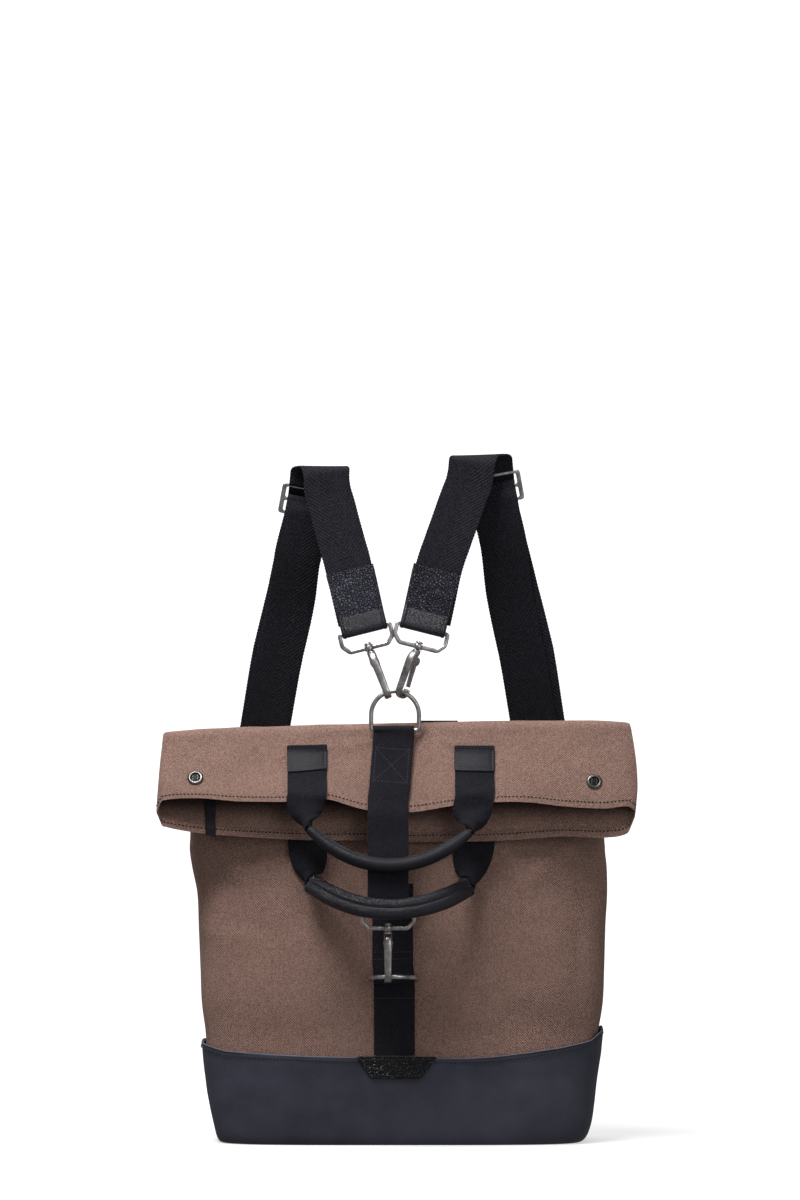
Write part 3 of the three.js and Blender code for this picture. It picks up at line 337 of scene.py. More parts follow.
def cloth_material(name, dark, light, thread, rough, patches, sheen, sheen_tint, coarse, bump=0.9,
                   chevron=0.0, painted_shade=None):
    """Woven cloth on its own cloth map: thread colour with painted shade between the threads, slubs, soft
    patches and relief. Given two heights, the colour goes from painted a little lighter below the first to
    painted shadow above the second, for the unlit inside of the closed mouth."""
    material, bsdf, (add, maths, mix, spread) = principled(
        name, Roughness=rough, Sheen_Weight=sheen, Sheen_Roughness=0.5, Sheen_Tint=sheen_tint,
        Specular_IOR_Level=0.2)
    link = material.node_tree.links.new
    uv = add("ShaderNodeUVMap", uv_map="cloth").outputs[0]
    weave = add("ShaderNodeGroup", node_tree=TWILL)
    link(uv, weave.inputs["Cloth"])
    weave.inputs["Thread"].default_value = thread
    weave.inputs["Chevron"].default_value = chevron
    weave.inputs["Unevenness"].default_value = 0.7
    place = add("ShaderNodeTexCoord").outputs["Object"]
    patchy = add("ShaderNodeTexNoise",
                 inputs={"Vector": place, "Scale": coarse, "Detail": 4.0, "Roughness": 0.6})
    # The colour follows the threads' height: painted shade between the threads and along the twill's
    # diagonals, with each thread's own random tone.
    shade = spread(weave.outputs["Shade"], 0.1, 1.25)
    tone = maths("ADD", maths("MULTIPLY", shade, 0.8), maths("MULTIPLY", weave.outputs["Slub"], 0.2))
    colour = mix(tone, dark, light)
    patches_and_shade = spread(patchy.outputs[0], 0.3, 0.7, *patches)
    # Painted shadow of the closed mouth: a little lighter below the first height, dark above the second.
    if painted_shade:
        height = add("ShaderNodeSeparateXYZ", inputs={0: place}).outputs[2]
        patches_and_shade = maths("MULTIPLY", patches_and_shade, spread(height, *painted_shade, 1.2, 0.2))
    patched_and_shaded = add("ShaderNodeVectorMath", operation="SCALE", inputs={0: colour, "Scale": patches_and_shade}).outputs[0]
    link(patched_and_shaded, bsdf.inputs["Base Color"])
    polish = spread(weave.outputs["Height"], 0.0, 1.0, min(1.0, rough + 0.06), rough - 0.08)
    link(polish, bsdf.inputs["Roughness"])
    relief = maths("MULTIPLY_ADD", weave.outputs["Slub"], 0.35, weave.outputs["Height"])
    raised = add("ShaderNodeBump", inputs={"Strength": bump, "Distance": thread * 0.6, "Height": relief})
    link(raised.outputs[0], bsdf.inputs["Normal"])
    return material


def rgb(r, g, b):
    """A colour read as 0 to 255 on screen, as linear light."""
    linear = [((c / 255 + 0.055) / 1.055) ** 2.4 if c > 10 else c / 255 / 12.92 for c in (r, g, b)]
    return (*linear, 1.0)


CANVAS_LOOK = dict(dark=rgb(70, 48, 42), light=rgb(208, 169, 154), thread=0.00072, rough=0.9,
                   patches=(0.88, 1.1), sheen=0.06, sheen_tint=rgb(205, 185, 175), coarse=9.0, bump=0.8)
CANVAS = cloth_material("canvas_twill", **CANVAS_LOOK)
# The inner faces of the panels, with painted shadow inside the closed mouth.
INSIDE_CANVAS_PAINTED_SHADE = cloth_material("canvas_inside_painted_shade", **CANVAS_LOOK, painted_shade=(0.272, 0.292))
#   the rows just past the fold are eased, most at EASED_ROW and fading over EASED_OVER rows
EASED_ROW, EASED_OVER, EASING_ROUNDS = 18.4, 1.1, 60


def canvas_grid(side, s_values, share_values, inset=0.0):
    """A panel's points as a grid, eased past the fold, with normals that point out."""
    s, share = np.meshgrid(s_values, share_values, indexing="ij")
    points = canvas_points(side, s.ravel(), share.ravel(), inset).reshape(len(s_values), len(share_values), 3)
    ease = np.exp(-((s_values[1:-1] - EASED_ROW) / EASED_OVER)**2)[:, None, None]
    for _ in range(EASING_ROUNDS):
        points[1:-1] += ease * 0.5 * ((points[:-2] + points[2:]) / 2 - points[1:-1])
    normals = grid_normals(points)
    turn = np.radians(np.clip(smooth_rows(TUBE_ROWS, s_values)[:, 7], 0, 180))
    outward = np.stack([np.zeros_like(turn), np.cos(turn), np.sin(turn)], 1)[:, None, :]
    if side == "front":
        outward = -outward
    if np.sum(normals * outward) < 0:
        normals = -normals
    return points, normals


def cloth_relief(side, points, s_values):
    """How far the cloth stands out from its plain shape: folds, then gentle unevenness."""
    x, z = points[:, :, 0], points[:, :, 2]
    on_body = np.clip((FOLD_START - s_values) / 2, 0, 1)[:, None]
    on_flap = np.clip((s_values - FOLD_START - 4) / 3, 0, 1)[:, None]
    sign = 1 if side == "front" else 0.6
    out = on_body * fold_height(BODY_FOLDS, x if side == "front" else -x, z) * sign
    if side == "back":
        out = out + on_flap * fold_height(FLAP_FOLDS, x, z)
    shift = Vector((3 if side == "front" else 9, 0, 0))
    places = [Vector(p) for p in points.reshape(-1, 3)]
    soft = np.array([noise.fractal(p / 55 + shift, 1.0, 2.0, 3) for p in places]).reshape(x.shape)
    fine = np.array([noise.noise(p / 17) for p in places]).reshape(x.shape)
    off_seam = np.clip((1 - np.abs(np.linspace(-1, 1, x.shape[1]))) * 12, 0, 1)
    calm = np.clip((z - 84) / 30, 0, 1) * off_seam
    return out + (0.9 * soft + 0.22 * fine) * np.maximum(calm, 0.15)


def cloth_lengths(points):
    """Cloth map: length across from the middle and length along, in millimetres."""
    across = np.concatenate([np.zeros((points.shape[0], 1)),
                             np.cumsum(np.linalg.norm(np.diff(points, axis=1), axis=2), 1)], 1)
    across -= across[:, across.shape[1] // 2][:, None]
    middle = points[:, points.shape[1] // 2]
    along = np.concatenate([[0], np.cumsum(np.linalg.norm(np.diff(middle, axis=0), axis=1))])
    return np.stack([across, np.broadcast_to(along[:, None], across.shape)], -1)


CANVAS_S = np.concatenate([
    np.linspace(0, 3, 12, endpoint=False),
    np.linspace(3, FOLD_START, 80, endpoint=False),
    np.linspace(FOLD_START, FOLD_END, 30, endpoint=False),
    np.linspace(FOLD_END, LIP_ROW, 44)])
even = np.cos(np.pi * (1 - np.linspace(0, 1, 151)))
CANVAS_SHARE = np.sign(even) * np.abs(even) ** 0.7
panel_faces = {}
panels = {}
for side in ("front", "back"):
    points, normals = canvas_grid(side, CANVAS_S, CANVAS_SHARE)
    off_seam = np.clip((1 - np.abs(CANVAS_SHARE)) / SEAM_ZONE, 0, 1)[None, :, None]
    relief = normals * cloth_relief(side, points, CANVAS_S)[:, :, None] * off_seam
    inner, _ = canvas_grid(side, CANVAS_S, CANVAS_SHARE, CANVAS_WALL)
    outer = points + relief
    skin, faces = shell(outer, inner + relief)
    uv = cloth_lengths(outer).reshape(-1, 2)
    panel = make_mesh(f"canvas_{side}", skin, oriented(skin, faces), CANVAS, np.concatenate([uv, uv]))
    panel.data.materials.append(INSIDE_CANVAS_PAINTED_SHADE)
    inside = [min(polygon.vertices) >= outer.size // 3 for polygon in panel.data.polygons]
    panel.data.polygons.foreach_set("material_index", np.array(inside, int))
    lengths = cloth_lengths(points)
    down, right = np.diff(points, axis=0)[:, :-1], np.diff(points, axis=1)[:-1]
    panel_faces[side] = outer
    panels[side] = on_bag(panel, "canvas", f"canvas_{side}_panel")


# Hems. Each lip of the mouth has its cut edge turned in and stitched, which makes a second layer on
# the inner face and a thick edge with a groove between the layers.
HEM_TALL, HEM_THICK, HEM_STITCH = 8.5, 1.5, 5.6
HEM_OUTSIDE = CANVAS_WALL + 0.12
HEM_INSIDE = CANVAS_WALL + 0.12 + HEM_THICK


def hem_row(side, reach):
    """The row of the tube that lies reach millimetres from the panel's lip."""
    points = panel_faces[side]
    middle = points[:, points.shape[1] // 2]
    left = np.concatenate([np.cumsum(np.linalg.norm(np.diff(middle, axis=0), axis=1)[::-1])[::-1], [0]])
    return np.interp(reach, left[::-1], CANVAS_S[::-1])


def face_relief(side, rows):
    """Relief of the panel's outer face at these rows, as vectors, and the face's normals."""
    outer, normals = canvas_grid(side, rows, CANVAS_SHARE)
    return cloth_relief(side, outer, rows)[:, :, None] * normals, normals


for side in ("front", "back"):
    rows = np.linspace(hem_row(side, HEM_TALL), LIP_ROW, 14)
    relief, _ = face_relief(side, rows)
    grids = [canvas_grid(side, rows, CANVAS_SHARE * 0.985, inset)[0] + relief
             for inset in (HEM_OUTSIDE, HEM_INSIDE)]
    points, faces = shell(*grids)
    uv = np.concatenate([cloth_lengths(grids[0]).reshape(-1, 2)] * 2)
    on_bag(make_mesh(f"hem_{side}", points, oriented(points, faces), CANVAS, uv), "canvas")


def stitch_tree():
    """Geometry Nodes: a thread segment at every pitch along the given lines."""
    tree = bpy.data.node_groups.new("stitch_run", "GeometryNodeTree")
    for label, kind, value in (
            ("Lines", "NodeSocketGeometry", None), ("Pitch", "NodeSocketFloat", 0.003),
            ("Stitch length", "NodeSocketFloat", 0.0022), ("Thread radius", "NodeSocketFloat", 0.0004),
            ("Thread", "NodeSocketMaterial", None)):
        socket = tree.interface.new_socket(label, in_out="INPUT", socket_type=kind)
        if value is not None:
            socket.default_value = value
    tree.interface.new_socket("Stitches", in_out="OUTPUT", socket_type="NodeSocketGeometry")
    add = tree.nodes.new
    link = tree.links.new
    given, out = add("NodeGroupInput"), add("NodeGroupOutput")
    curve = add("GeometryNodeMeshToCurve")
    link(given.outputs["Lines"], curve.inputs["Mesh"])
    spaced = add("GeometryNodeResampleCurve")
    spaced.mode = "LENGTH"
    link(curve.outputs["Curve"], spaced.inputs["Curve"])
    link(given.outputs["Pitch"], spaced.inputs["Length"])
    tangent = add("GeometryNodeInputTangent")
    turn = add("FunctionNodeAlignRotationToVector")
    turn.axis = "Z"
    link(tangent.outputs[0], turn.inputs["Vector"])
    thread = add("GeometryNodeMeshUVSphere")
    thread.inputs["Segments"].default_value = 6
    thread.inputs["Rings"].default_value = 5
    thread.inputs["Radius"].default_value = 1.0
    half = add("ShaderNodeMath")
    half.operation = "DIVIDE"
    half.inputs[1].default_value = 2.0
    link(given.outputs["Stitch length"], half.inputs[0])
    size = add("ShaderNodeCombineXYZ")
    link(given.outputs["Thread radius"], size.inputs[0])
    link(given.outputs["Thread radius"], size.inputs[1])
    link(half.outputs[0], size.inputs[2])
    copies = add("GeometryNodeInstanceOnPoints")
    link(spaced.outputs["Curve"], copies.inputs["Points"])
    link(thread.outputs["Mesh"], copies.inputs["Instance"])
    link(turn.outputs[0], copies.inputs["Rotation"])
    link(size.outputs[0], copies.inputs["Scale"])
    real = add("GeometryNodeRealizeInstances")
    link(copies.outputs["Instances"], real.inputs["Geometry"])
    finish = add("GeometryNodeSetMaterial")
    link(real.outputs["Geometry"], finish.inputs["Geometry"])
    link(given.outputs["Thread"], finish.inputs["Material"])
    link(finish.outputs["Geometry"], out.inputs["Stitches"])
    return tree


STITCHES = stitch_tree()


def stitch(name, lines, thread, slot, pitch=3.0, length=2.2, radius=0.38):
    """Stitches along lines of points, as one piece that rides on the bag."""
    points, edges = [], []
    for line in lines:
        start = len(points)
        points += [tuple((np.asarray(p) + MIDDLE) * MM) for p in line]
        edges += [(start + i, start + i + 1) for i in range(len(line) - 1)]
    mesh = bpy.data.meshes.new(name)
    mesh.from_pydata(points, edges, [])
    made = bpy.data.objects.new(name, mesh)
    bpy.context.collection.objects.link(made)
    modifier = made.modifiers.new("stitches", "NODES")
    modifier.node_group = STITCHES
    sockets = {item.name: item.identifier for item in STITCHES.interface.items_tree if item.in_out == "INPUT"}
    values = {"Pitch": pitch * MM, "Stitch length": length * MM, "Thread radius": radius * MM,
              "Thread": thread}
    for label, value in values.items():
        modifier[sockets[label]] = value
    bpy.context.view_layer.update()
    plain = bpy.data.meshes.new_from_object(made.evaluated_get(bpy.context.evaluated_depsgraph_get()))
    made.modifiers.clear()
    made.data = plain
    made.data.polygons.foreach_set("use_smooth", [True] * len(made.data.polygons))
    on_bag(made, slot)


def thread_material(name, colour, rough):
    """Sewing thread: twisted plies shown as fine diagonal shading."""
    material, bsdf, (add, maths, mix, spread) = principled(name, Roughness=rough, Sheen_Weight=0.15)
    place = add("ShaderNodeTexCoord").outputs["Object"]
    ply = add("ShaderNodeTexNoise", inputs={"Vector": place, "Scale": 2600.0, "Detail": 1.0})
    dark = tuple(0.5 * c for c in colour[:3]) + (1.0,)
    twisted = mix(spread(ply.outputs[0], 0.35, 0.65), dark, colour)
    material.node_tree.links.new(twisted, bsdf.inputs["Base Color"])
    return material


BROWN_THREAD = thread_material("brown_thread", rgb(52, 27, 25), 0.8)
hem_lines = []
for side in ("front", "back"):
    row = hem_row(side, HEM_STITCH)
    rows = np.array([row - 0.02, row, row + 0.02])
    relief, normals = face_relief(side, rows)
    for inset, lift in ((0, 0.12), (HEM_INSIDE, -0.12)):
        plain, _ = canvas_grid(side, rows, CANVAS_SHARE, inset)
        line = (plain + relief + normals * lift)[1]
        hem_lines.append(line[4:-4])
stitch("hem_stitches", hem_lines, BROWN_THREAD, "canvas", pitch=3.2, length=2.1, radius=0.62)


# Leather base. A cup of smooth waxed leather, about 2 mm thick, drawn up round the canvas and sewn
# to it with one row of dark thread just below its cut edge, which sags in the middle.
LEATHER_WALL = 2.2
BASE_MIDDLE = np.array([0, -2, 0])
#   z, left, right, front, back, power, share of the way up to the rim
CUP_ROWS = np.array([
    (0, -147.3, 153.2, 45, 43, 4.2, 0), (1.2, -151.8, 158.6, 48.5, 46.5, 4.3, 0),
    (7, -154.8, 163.0, 51, 49.5, 4.4, 0), (20, -157.7, 167.0, 53, 51.5, 4.4, 0),
    (38, -161.2, 169.5, 54.8, 53.2, 4.4, 0), (60, -164.2, 172.1, 56.2, 54.8, 4.4, 0),
    (60, -166.1, 174.7, 57.2, 55.8, 4.4, 0.6), (60, -166.9, 176.1, 57.8, 56.2, 4.4, 1)], float)
#   x and height of the cut edge
RIM_ROWS = np.array([(-170, 86), (-146, 80.5), (-94, 77.5), (-30, 75.5), (63, 75), (94, 77.5), (139, 83.5),
                     (165, 89), (178, 98)], float)


def cup_points(s, angle, inset=0.0):
    """Points round the base: s runs up the wall by table rows."""
    z, left, right, front, back, power, rim = smooth_rows(CUP_ROWS, s).T
    c, d = np.cos(angle), np.sin(angle)
    c = np.sign(c) * np.abs(c) ** (2 / power)
    d = np.sign(d) * np.abs(d) ** (2 / power)
    x = (left + right) / 2 + ((right - left) / 2 - inset) * c
    edge = smooth_table(RIM_ROWS, np.clip(x, RIM_ROWS[0, 0], RIM_ROWS[-1, 0]))[:, 0]
    z = np.maximum(z, 0) + np.clip(rim, 0, 1) * (edge - z)
    return np.stack([x, BASE_MIDDLE[1] + (np.where(d > 0, back, front) - inset) * d, z], 1)


CUP_ANGLES = np.linspace(0, 2 * np.pi, 260, endpoint=False)
CUP_ANGLES = CUP_ANGLES + 0.16 * np.sin(4 * CUP_ANGLES) / 4


def cup_ring(s, inset=0.0, lift=0.0):
    ring = cup_points(np.full(len(CUP_ANGLES), float(s)), CUP_ANGLES, inset)
    ring[:, 2] += lift
    return ring


def cup_soften(rings):
    """Waxed leather's slow waves, strongest in the middle of the wall."""
    for ring in rings:
        out = np.stack([np.cos(CUP_ANGLES), np.sin(CUP_ANGLES), np.zeros_like(CUP_ANGLES)], 1)
        wave = np.array([noise.fractal(Vector(p) / 60 + Vector((20, 4, 0)), 1.0, 2.0, 3) for p in ring])
        calm = np.clip(ring[:, 2] / 12, 0, 1)
        ring += out * (wave * 0.9 * calm)[:, None]
    return rings


def drawn_in(ring, height, shares):
    """Copies of a ring at one height, drawn in toward its middle."""
    return [BASE_MIDDLE + (0, 0, height) + (ring - BASE_MIDDLE) * (k, k, 0) for k in shares]


outer_s = np.concatenate([np.linspace(0, 5, 40, endpoint=False), np.linspace(5, 6.86, 12)])
wall_rings = cup_soften([cup_ring(s) for s in outer_s])
edge_rings = [cup_ring(6.94, -0.15), cup_ring(6.985, -0.05), cup_ring(7, 0.35, 0.35),
              cup_ring(7, LEATHER_WALL - 0.4, 0.35), cup_ring(7, LEATHER_WALL, -0.3)]
inner_rings = [cup_ring(s, LEATHER_WALL) for s in np.linspace(6.9, 1.4, 24)]
under_rings = drawn_in(wall_rings[0], 0.0, (0.02, 0.5, 0.9))
floor_rings = drawn_in(inner_rings[-1], inner_rings[-1][0, 2], (0.9, 0.5, 0.02))
rings = under_rings + wall_rings + edge_rings + inner_rings + floor_rings


def leather_group():
    """Leather relief. Pebble gives raised grains and a mask of their valleys for painted shade, Crease gives
    fine hair lines.
    """
    group, given, out, (add, maths, mix, spread) = shader_group(
        "leather_skin", [("Place", "NodeSocketVector", None), ("Grain size", "NodeSocketFloat", 0.0014),
                         ("Crease", "NodeSocketFloat", 0.3)],
        [("Height", "NodeSocketFloat"), ("Valley shade mask", "NodeSocketFloat"), ("Cloud", "NodeSocketFloat")])
    link = group.links.new
    place = given.outputs["Place"]
    scale = maths("DIVIDE", 1.0, given.outputs["Grain size"])
    warp = add("ShaderNodeTexNoise", inputs={"Vector": place, "Scale": 300.0, "Detail": 2.0})
    moved = add("ShaderNodeVectorMath", operation="MULTIPLY_ADD",
                inputs={0: warp.outputs["Color"], 1: (0.0012, 0.0012, 0.0012), 2: place}).outputs[0]
    cells = add("ShaderNodeTexVoronoi", feature="DISTANCE_TO_EDGE", inputs={"Vector": moved, "Scale": scale})
    dome = spread(cells.outputs["Distance"], 0.0, 0.28)
    fine = add("ShaderNodeTexNoise", inputs={"Vector": place, "Scale": 2400.0, "Detail": 3.0})
    height = maths("MULTIPLY_ADD", fine.outputs[0], given.outputs["Crease"], dome)
    cloud = add("ShaderNodeTexNoise",
                inputs={"Vector": place, "Scale": 16.0, "Detail": 5.0, "Roughness": 0.62})
    link(height, out.inputs["Height"])
    link(dome, out.inputs["Valley shade mask"])
    link(cloud.outputs[0], out.inputs["Cloud"])
    return group


LEATHER = leather_group()


def leather_material(name, dark, light, grain, crease, rough, bump, depth, specular, valley_shade):
    """Leather: clouded colour and gloss, grains of a size in metres, and painted shade in the valleys between
    grains, darkened by a share.
    """
    material, bsdf, (add, maths, mix, spread) = principled(name, Specular_IOR_Level=specular)
    link = material.node_tree.links.new
    place = add("ShaderNodeTexCoord").outputs["Object"]
    skin = add("ShaderNodeGroup", node_tree=LEATHER)
    link(place, skin.inputs["Place"])
    skin.inputs["Grain size"].default_value = grain
    skin.inputs["Crease"].default_value = crease
    cloud = spread(skin.outputs["Cloud"], 0.32, 0.68)
    colour = mix(cloud, dark, light)
    # Painted shade: the valleys between the grains are darkened by a share.
    painted_shade = spread(skin.outputs["Valley shade mask"], 0.0, 0.6, 1.0 - valley_shade, 1.0)
    link(add("ShaderNodeVectorMath", operation="SCALE", inputs={0: colour, "Scale": painted_shade}).outputs[0],
         bsdf.inputs["Base Color"])
    link(spread(cloud, 0.0, 1.0, *rough), bsdf.inputs["Roughness"])
    height = skin.outputs["Height"]
    raised = add("ShaderNodeBump", inputs={"Strength": bump, "Distance": depth, "Height": height})
    link(raised.outputs[0], bsdf.inputs["Normal"])
    return material


BASE_LEATHER = leather_material(
    "base_waxed_leather", dark=rgb(58, 58, 71), light=rgb(76, 76, 91), grain=0.0007, crease=0.8,
    rough=(0.5, 0.62), bump=0.25, depth=0.0002, specular=0.3, valley_shade=0.06)
points, faces = loft(rings)
base = make_mesh("leather_base_cup", points, oriented(points, faces), BASE_LEATHER)
CUT_EDGE = principled("leather_cut_edge", Base_Color=rgb(92, 92, 106), Roughness=0.7)[0]
base.data.materials.append(CUT_EDGE)
first_cut = len(under_rings) + len(wall_rings)
ring_of_face = np.arange(len(base.data.polygons)) // len(CUP_ANGLES)
cut = (ring_of_face >= first_cut) & (ring_of_face < first_cut + 4)
base.data.polygons.foreach_set("material_index", cut.astype(int))
on_bag(base, "base_leather", "leather_base")
DARK_THREAD = thread_material("dark_thread", rgb(10, 10, 14), 0.75)
SEAM_ROW, SEAM_BELOW_RIM = np.interp(0.862, [0.6, 1.0], [6.0, 7.0]), 3.6
seam = cup_ring(SEAM_ROW, -0.35)
seam[:, 2] = cup_ring(7)[:, 2] - SEAM_BELOW_RIM
stitch("base_stitches", [np.concatenate([seam, seam[:1]])], DARK_THREAD, "base_leather", pitch=3.2,
       length=2.3, radius=0.62)


# Label. A small trapezoid of pebbled leather, sewn all round onto the front of the base at its cut
# edge. Its face is bare.
def front_of(piece, away=-300.0):
    """A finder of the piece's foremost point at x, z, seen from y away, and of the way it faces there."""
    mesh = bmesh.new()
    mesh.from_mesh(piece.data)
    tree = BVHTree.FromBMesh(mesh)
    mesh.free()
    way = Vector((0, 1 if away < 0 else -1, 0))

    def find(x, z):
        start = Vector(((x + MIDDLE[0]) * MM, away * MM, z * MM))
        place, normal, _, _ = tree.ray_cast(start, way)
        if normal.dot(way) > 0:
            normal = -normal
        return np.array(place) / MM - MIDDLE, np.array(normal)
    return find


def rounded_outline(corners, radius, steps=5):
    """Points of a polygon in x and z with its corners rounded, and points along its sides."""
    corners = np.asarray(corners, float)
    outline = []
    for i, corner in enumerate(corners):
        following = corners[(i + 1) % len(corners)]
        before, after = corners[i - 1] - corner, following - corner
        reach_in, reach_out = np.linalg.norm(before), np.linalg.norm(after)
        a = corner + before / reach_in * radius
        b = corner + after / reach_out * radius
        for t in np.linspace(0, 1, steps):
            outline.append((1 - t)**2 * a + 2 * t * (1 - t) * corner + t**2 * b)
        end = following - after / reach_out * radius
        for t in np.linspace(0, 1, 9)[1:-1]:
            outline.append(b + (end - b) * t)
    return np.array(outline)


def inset_outline(outline, distance):
    """The outline drawn in by a distance, point by point."""
    tangent = np.roll(outline, -1, 0) - np.roll(outline, 1, 0)
    tangent /= np.linalg.norm(tangent, axis=1)[:, None]
    normal = np.stack([-tangent[:, 1], tangent[:, 0]], 1)
    centre = outline.mean(0)
    if np.sum(normal * (centre - outline)) < 0:
        normal = -normal
    return outline + normal * distance


PATCH_CLEARANCE, STITCH_PROUD = 0.3, 0.18


def patch(name, node, outline, find, thick, material, groove):
    """A sewn leather patch: a rounded, slightly padded sheet that follows what it is sewn to.
    Returns its stitch line, which lies in a groove this far from its edge."""
    centre = outline.mean(0)
    rings = [(centre + (inset_outline(outline, groove + 0.9) - centre) * k / 0.82, thick)
             for k in (0.04, 0.3, 0.6, 0.82)]
    rings += [(inset_outline(outline, groove), thick - 0.28), (inset_outline(outline, groove - 0.8), thick),
              (inset_outline(outline, 0.5), thick - 0.05), (inset_outline(outline, 0.12), thick - 0.35),
              (outline, thick - 0.8), (outline, 0.0), (inset_outline(outline, groove), 0.0),
              (centre + (outline - centre) * 0.5, 0.0), (centre + (outline - centre) * 0.04, 0.0)]
    grids = []
    for shape, t in rings:
        ring = []
        for x, z in shape:
            place, _ = find(x, z)
            ring.append([x, place[1] - (t + PATCH_CLEARANCE), z])
        grids.append(np.array(ring))
    points, faces = loft(grids)
    on_bag(make_mesh(name, points, oriented(points, faces), material), "grain_leather", node)
    line = grids[4].copy()
    line[:, 1] -= STITCH_PROUD
    return np.concatenate([line, line[:1]])


base_front = front_of(base)


def on_base(x, z):
    """The base's face, level with its rim for what stands above the rim."""
    return base_front(x, min(z, smooth_table(RIM_ROWS, np.array([x]))[0, 0] - 1.4))


label_outline = rounded_outline([(-35, 76.6), (34.5, 76.6), (20.5, 57.6), (-21.5, 57.6)], 2.2)
LABEL_LEATHER = leather_material(
    "label_leather", dark=rgb(24, 24, 31), light=rgb(42, 42, 51), grain=0.0022, crease=0.15,
    rough=(0.3, 0.42), bump=1.0, depth=0.0018, specular=0.5, valley_shade=0.8)
BLACK_THREAD = thread_material("black_thread", rgb(58, 58, 70), 0.6)
label_line = patch("leather_label_patch", "leather_label", label_outline, on_base, 1.4, LABEL_LEATHER, 2.6)
stitch("label_stitches", [label_line], BLACK_THREAD, "grain_leather", pitch=2.6, length=1.9, radius=0.36)


# Front straps. 35 mm twill webbing: the upper one hangs from the top ring over the flap, sewn down
# with a boxed cross, and is folded round the snap hook. The lower one is sewn to the body.
def strip_rows(node):
    """Middle line, direction across, width and thickness of a CAD strip, section by section from its
    lower end, where the direction points left."""
    mesh = bmesh.new()
    mesh.from_mesh(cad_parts[node].data)
    bmesh.ops.remove_doubles(mesh, verts=mesh.verts, dist=1e-6)
    mesh.verts.ensure_lookup_table()
    ends = {v for v in mesh.verts if len(v.link_edges) < 6}
    ring = {min(ends, key=lambda v: v.co.z + 0.001 * v.co.x)}
    while len(ring) < 4:
        ring |= {e.other_vert(v) for v in ring for e in v.link_edges if e.other_vert(v) in ends}
    rows, seen, last = [], set(), None
    while len(ring) == 4:
        seen |= ring
        points = [np.array(v.co) / MM - MIDDLE for v in ring]
        a = points[0]
        order = sorted(range(1, 4), key=lambda i: np.linalg.norm(points[i] - a))
        mate = points[order[0]]
        others = [points[i] for i in order[1:]]
        near, far = (a + mate) / 2, (others[0] + others[1]) / 2
        across = far - near
        width = np.linalg.norm(across)
        across = across / width
        if last is not None and across.dot(last) < 0:
            across = -across
        last = across
        rows.append([*(near + far) / 2, *across, width, np.linalg.norm(a - mate)])
        ring = {e.other_vert(v) for v in ring for e in v.link_edges} - seen
    mesh.free()
    rows = np.array(rows)
    if rows[0, 3] > 0:
        rows[:, 3:6] *= -1
    return rows


def smooth_path(rows, step):
    """Rows resampled on a smooth curve through them, no further apart than step."""
    rows = np.asarray(rows, float)
    gap = np.linalg.norm(np.diff(rows[:, :3], axis=0), axis=1)
    slope = np.diff(rows, axis=0) / gap[:, None]
    m = np.empty_like(rows)
    m[0], m[-1] = slope[0], slope[-1]
    w = (gap[:-1] / (gap[:-1] + gap[1:]))[:, None]
    m[1:-1] = slope[:-1] * (1 - w) + slope[1:] * w
    made = []
    for i, length in enumerate(gap):
        n = max(2, int(np.ceil(length / step)))
        t = np.linspace(0, 1, n, endpoint=False)[:, None]
        made.append((2 * t**3 - 3 * t**2 + 1) * rows[i] + (t**3 - 2 * t**2 + t) * m[i] * length
                    + (3 * t**2 - 2 * t**3) * rows[i + 1] + (t**3 - t**2) * m[i + 1] * length)
    made.append(rows[-1:])
    return np.concatenate(made)


def step_lengths(points):
    """Length along a line of points, at each of them."""
    return np.concatenate([[0], np.cumsum(np.linalg.norm(np.diff(points, axis=0), axis=1))])


def strip_frame(rows):
    """Centre, unit across, unit out and length so far of each row of a strip."""
    centre, across = rows[:, :3], rows[:, 3:6]
    across = across / np.linalg.norm(across, axis=1)[:, None]
    along = np.gradient(centre, axis=0)
    along /= np.linalg.norm(along, axis=1)[:, None]
    out = np.cross(across, along)
    out /= np.linalg.norm(out, axis=1)[:, None]
    return centre, across, out, step_lengths(centre)


#   a raised rim: places across, where 1 is the strip's edge, and heights as shares of the rim
EDGE_PLACES = np.array([0.76, 0.84, 0.875, 0.9, 0.93, 0.96, 0.985, 1.0])
EDGE_HEIGHTS = np.array([0, -0.12, -0.5, 0.35, 1.0, 1.0, 0.6, 0.0])


def strip_mesh(rows, sides=9, rim=0.0):
    """Points, faces and cloth map of a strip with rounded edges, and raised rims if asked."""
    centre, across, out, length = strip_frame(rows)
    rings, maps = [], []
    for c, a, o, s, (w, t) in zip(centre, across, out, length, rows[:, 6:8]):
        r = t / 2
        flat = np.linspace(-1, 1, sides)
        if rim:
            flat = np.concatenate([-EDGE_PLACES[::-1], np.linspace(-0.7, 0.7, 9), EDGE_PLACES])
        top = [(k * (w / 2 - r), r + rim * np.interp(abs(k), EDGE_PLACES, EDGE_HEIGHTS)) for k in flat]
        turns = [math.radians(q) for q in (60, 30, 0, -30, -60)]
        right = [(w / 2 - r + r * math.cos(q), r * math.sin(q)) for q in turns]
        section = top + right + [(-p, -q) for p, q in top + right]
        rings.append([c + a * p + o * q for p, q in section])
        maps.append([(p, s) for p, q in section])
    points, faces = loft(rings)
    return points, faces, np.array(maps).reshape(-1, 2)


def strip_piece(name, node, rows, material, slot, sides=9):
    """A strip of webbing or leather that rides on the bag."""
    points, faces, uv = strip_mesh(rows, sides)
    on_bag(make_mesh(name, points, oriented(points, faces), material, uv), slot, node)


def row_at(values, length, s):
    """A row of three columns at a length along a strip."""
    return np.array([np.interp(s, length, values[:, k]) for k in range(3)])


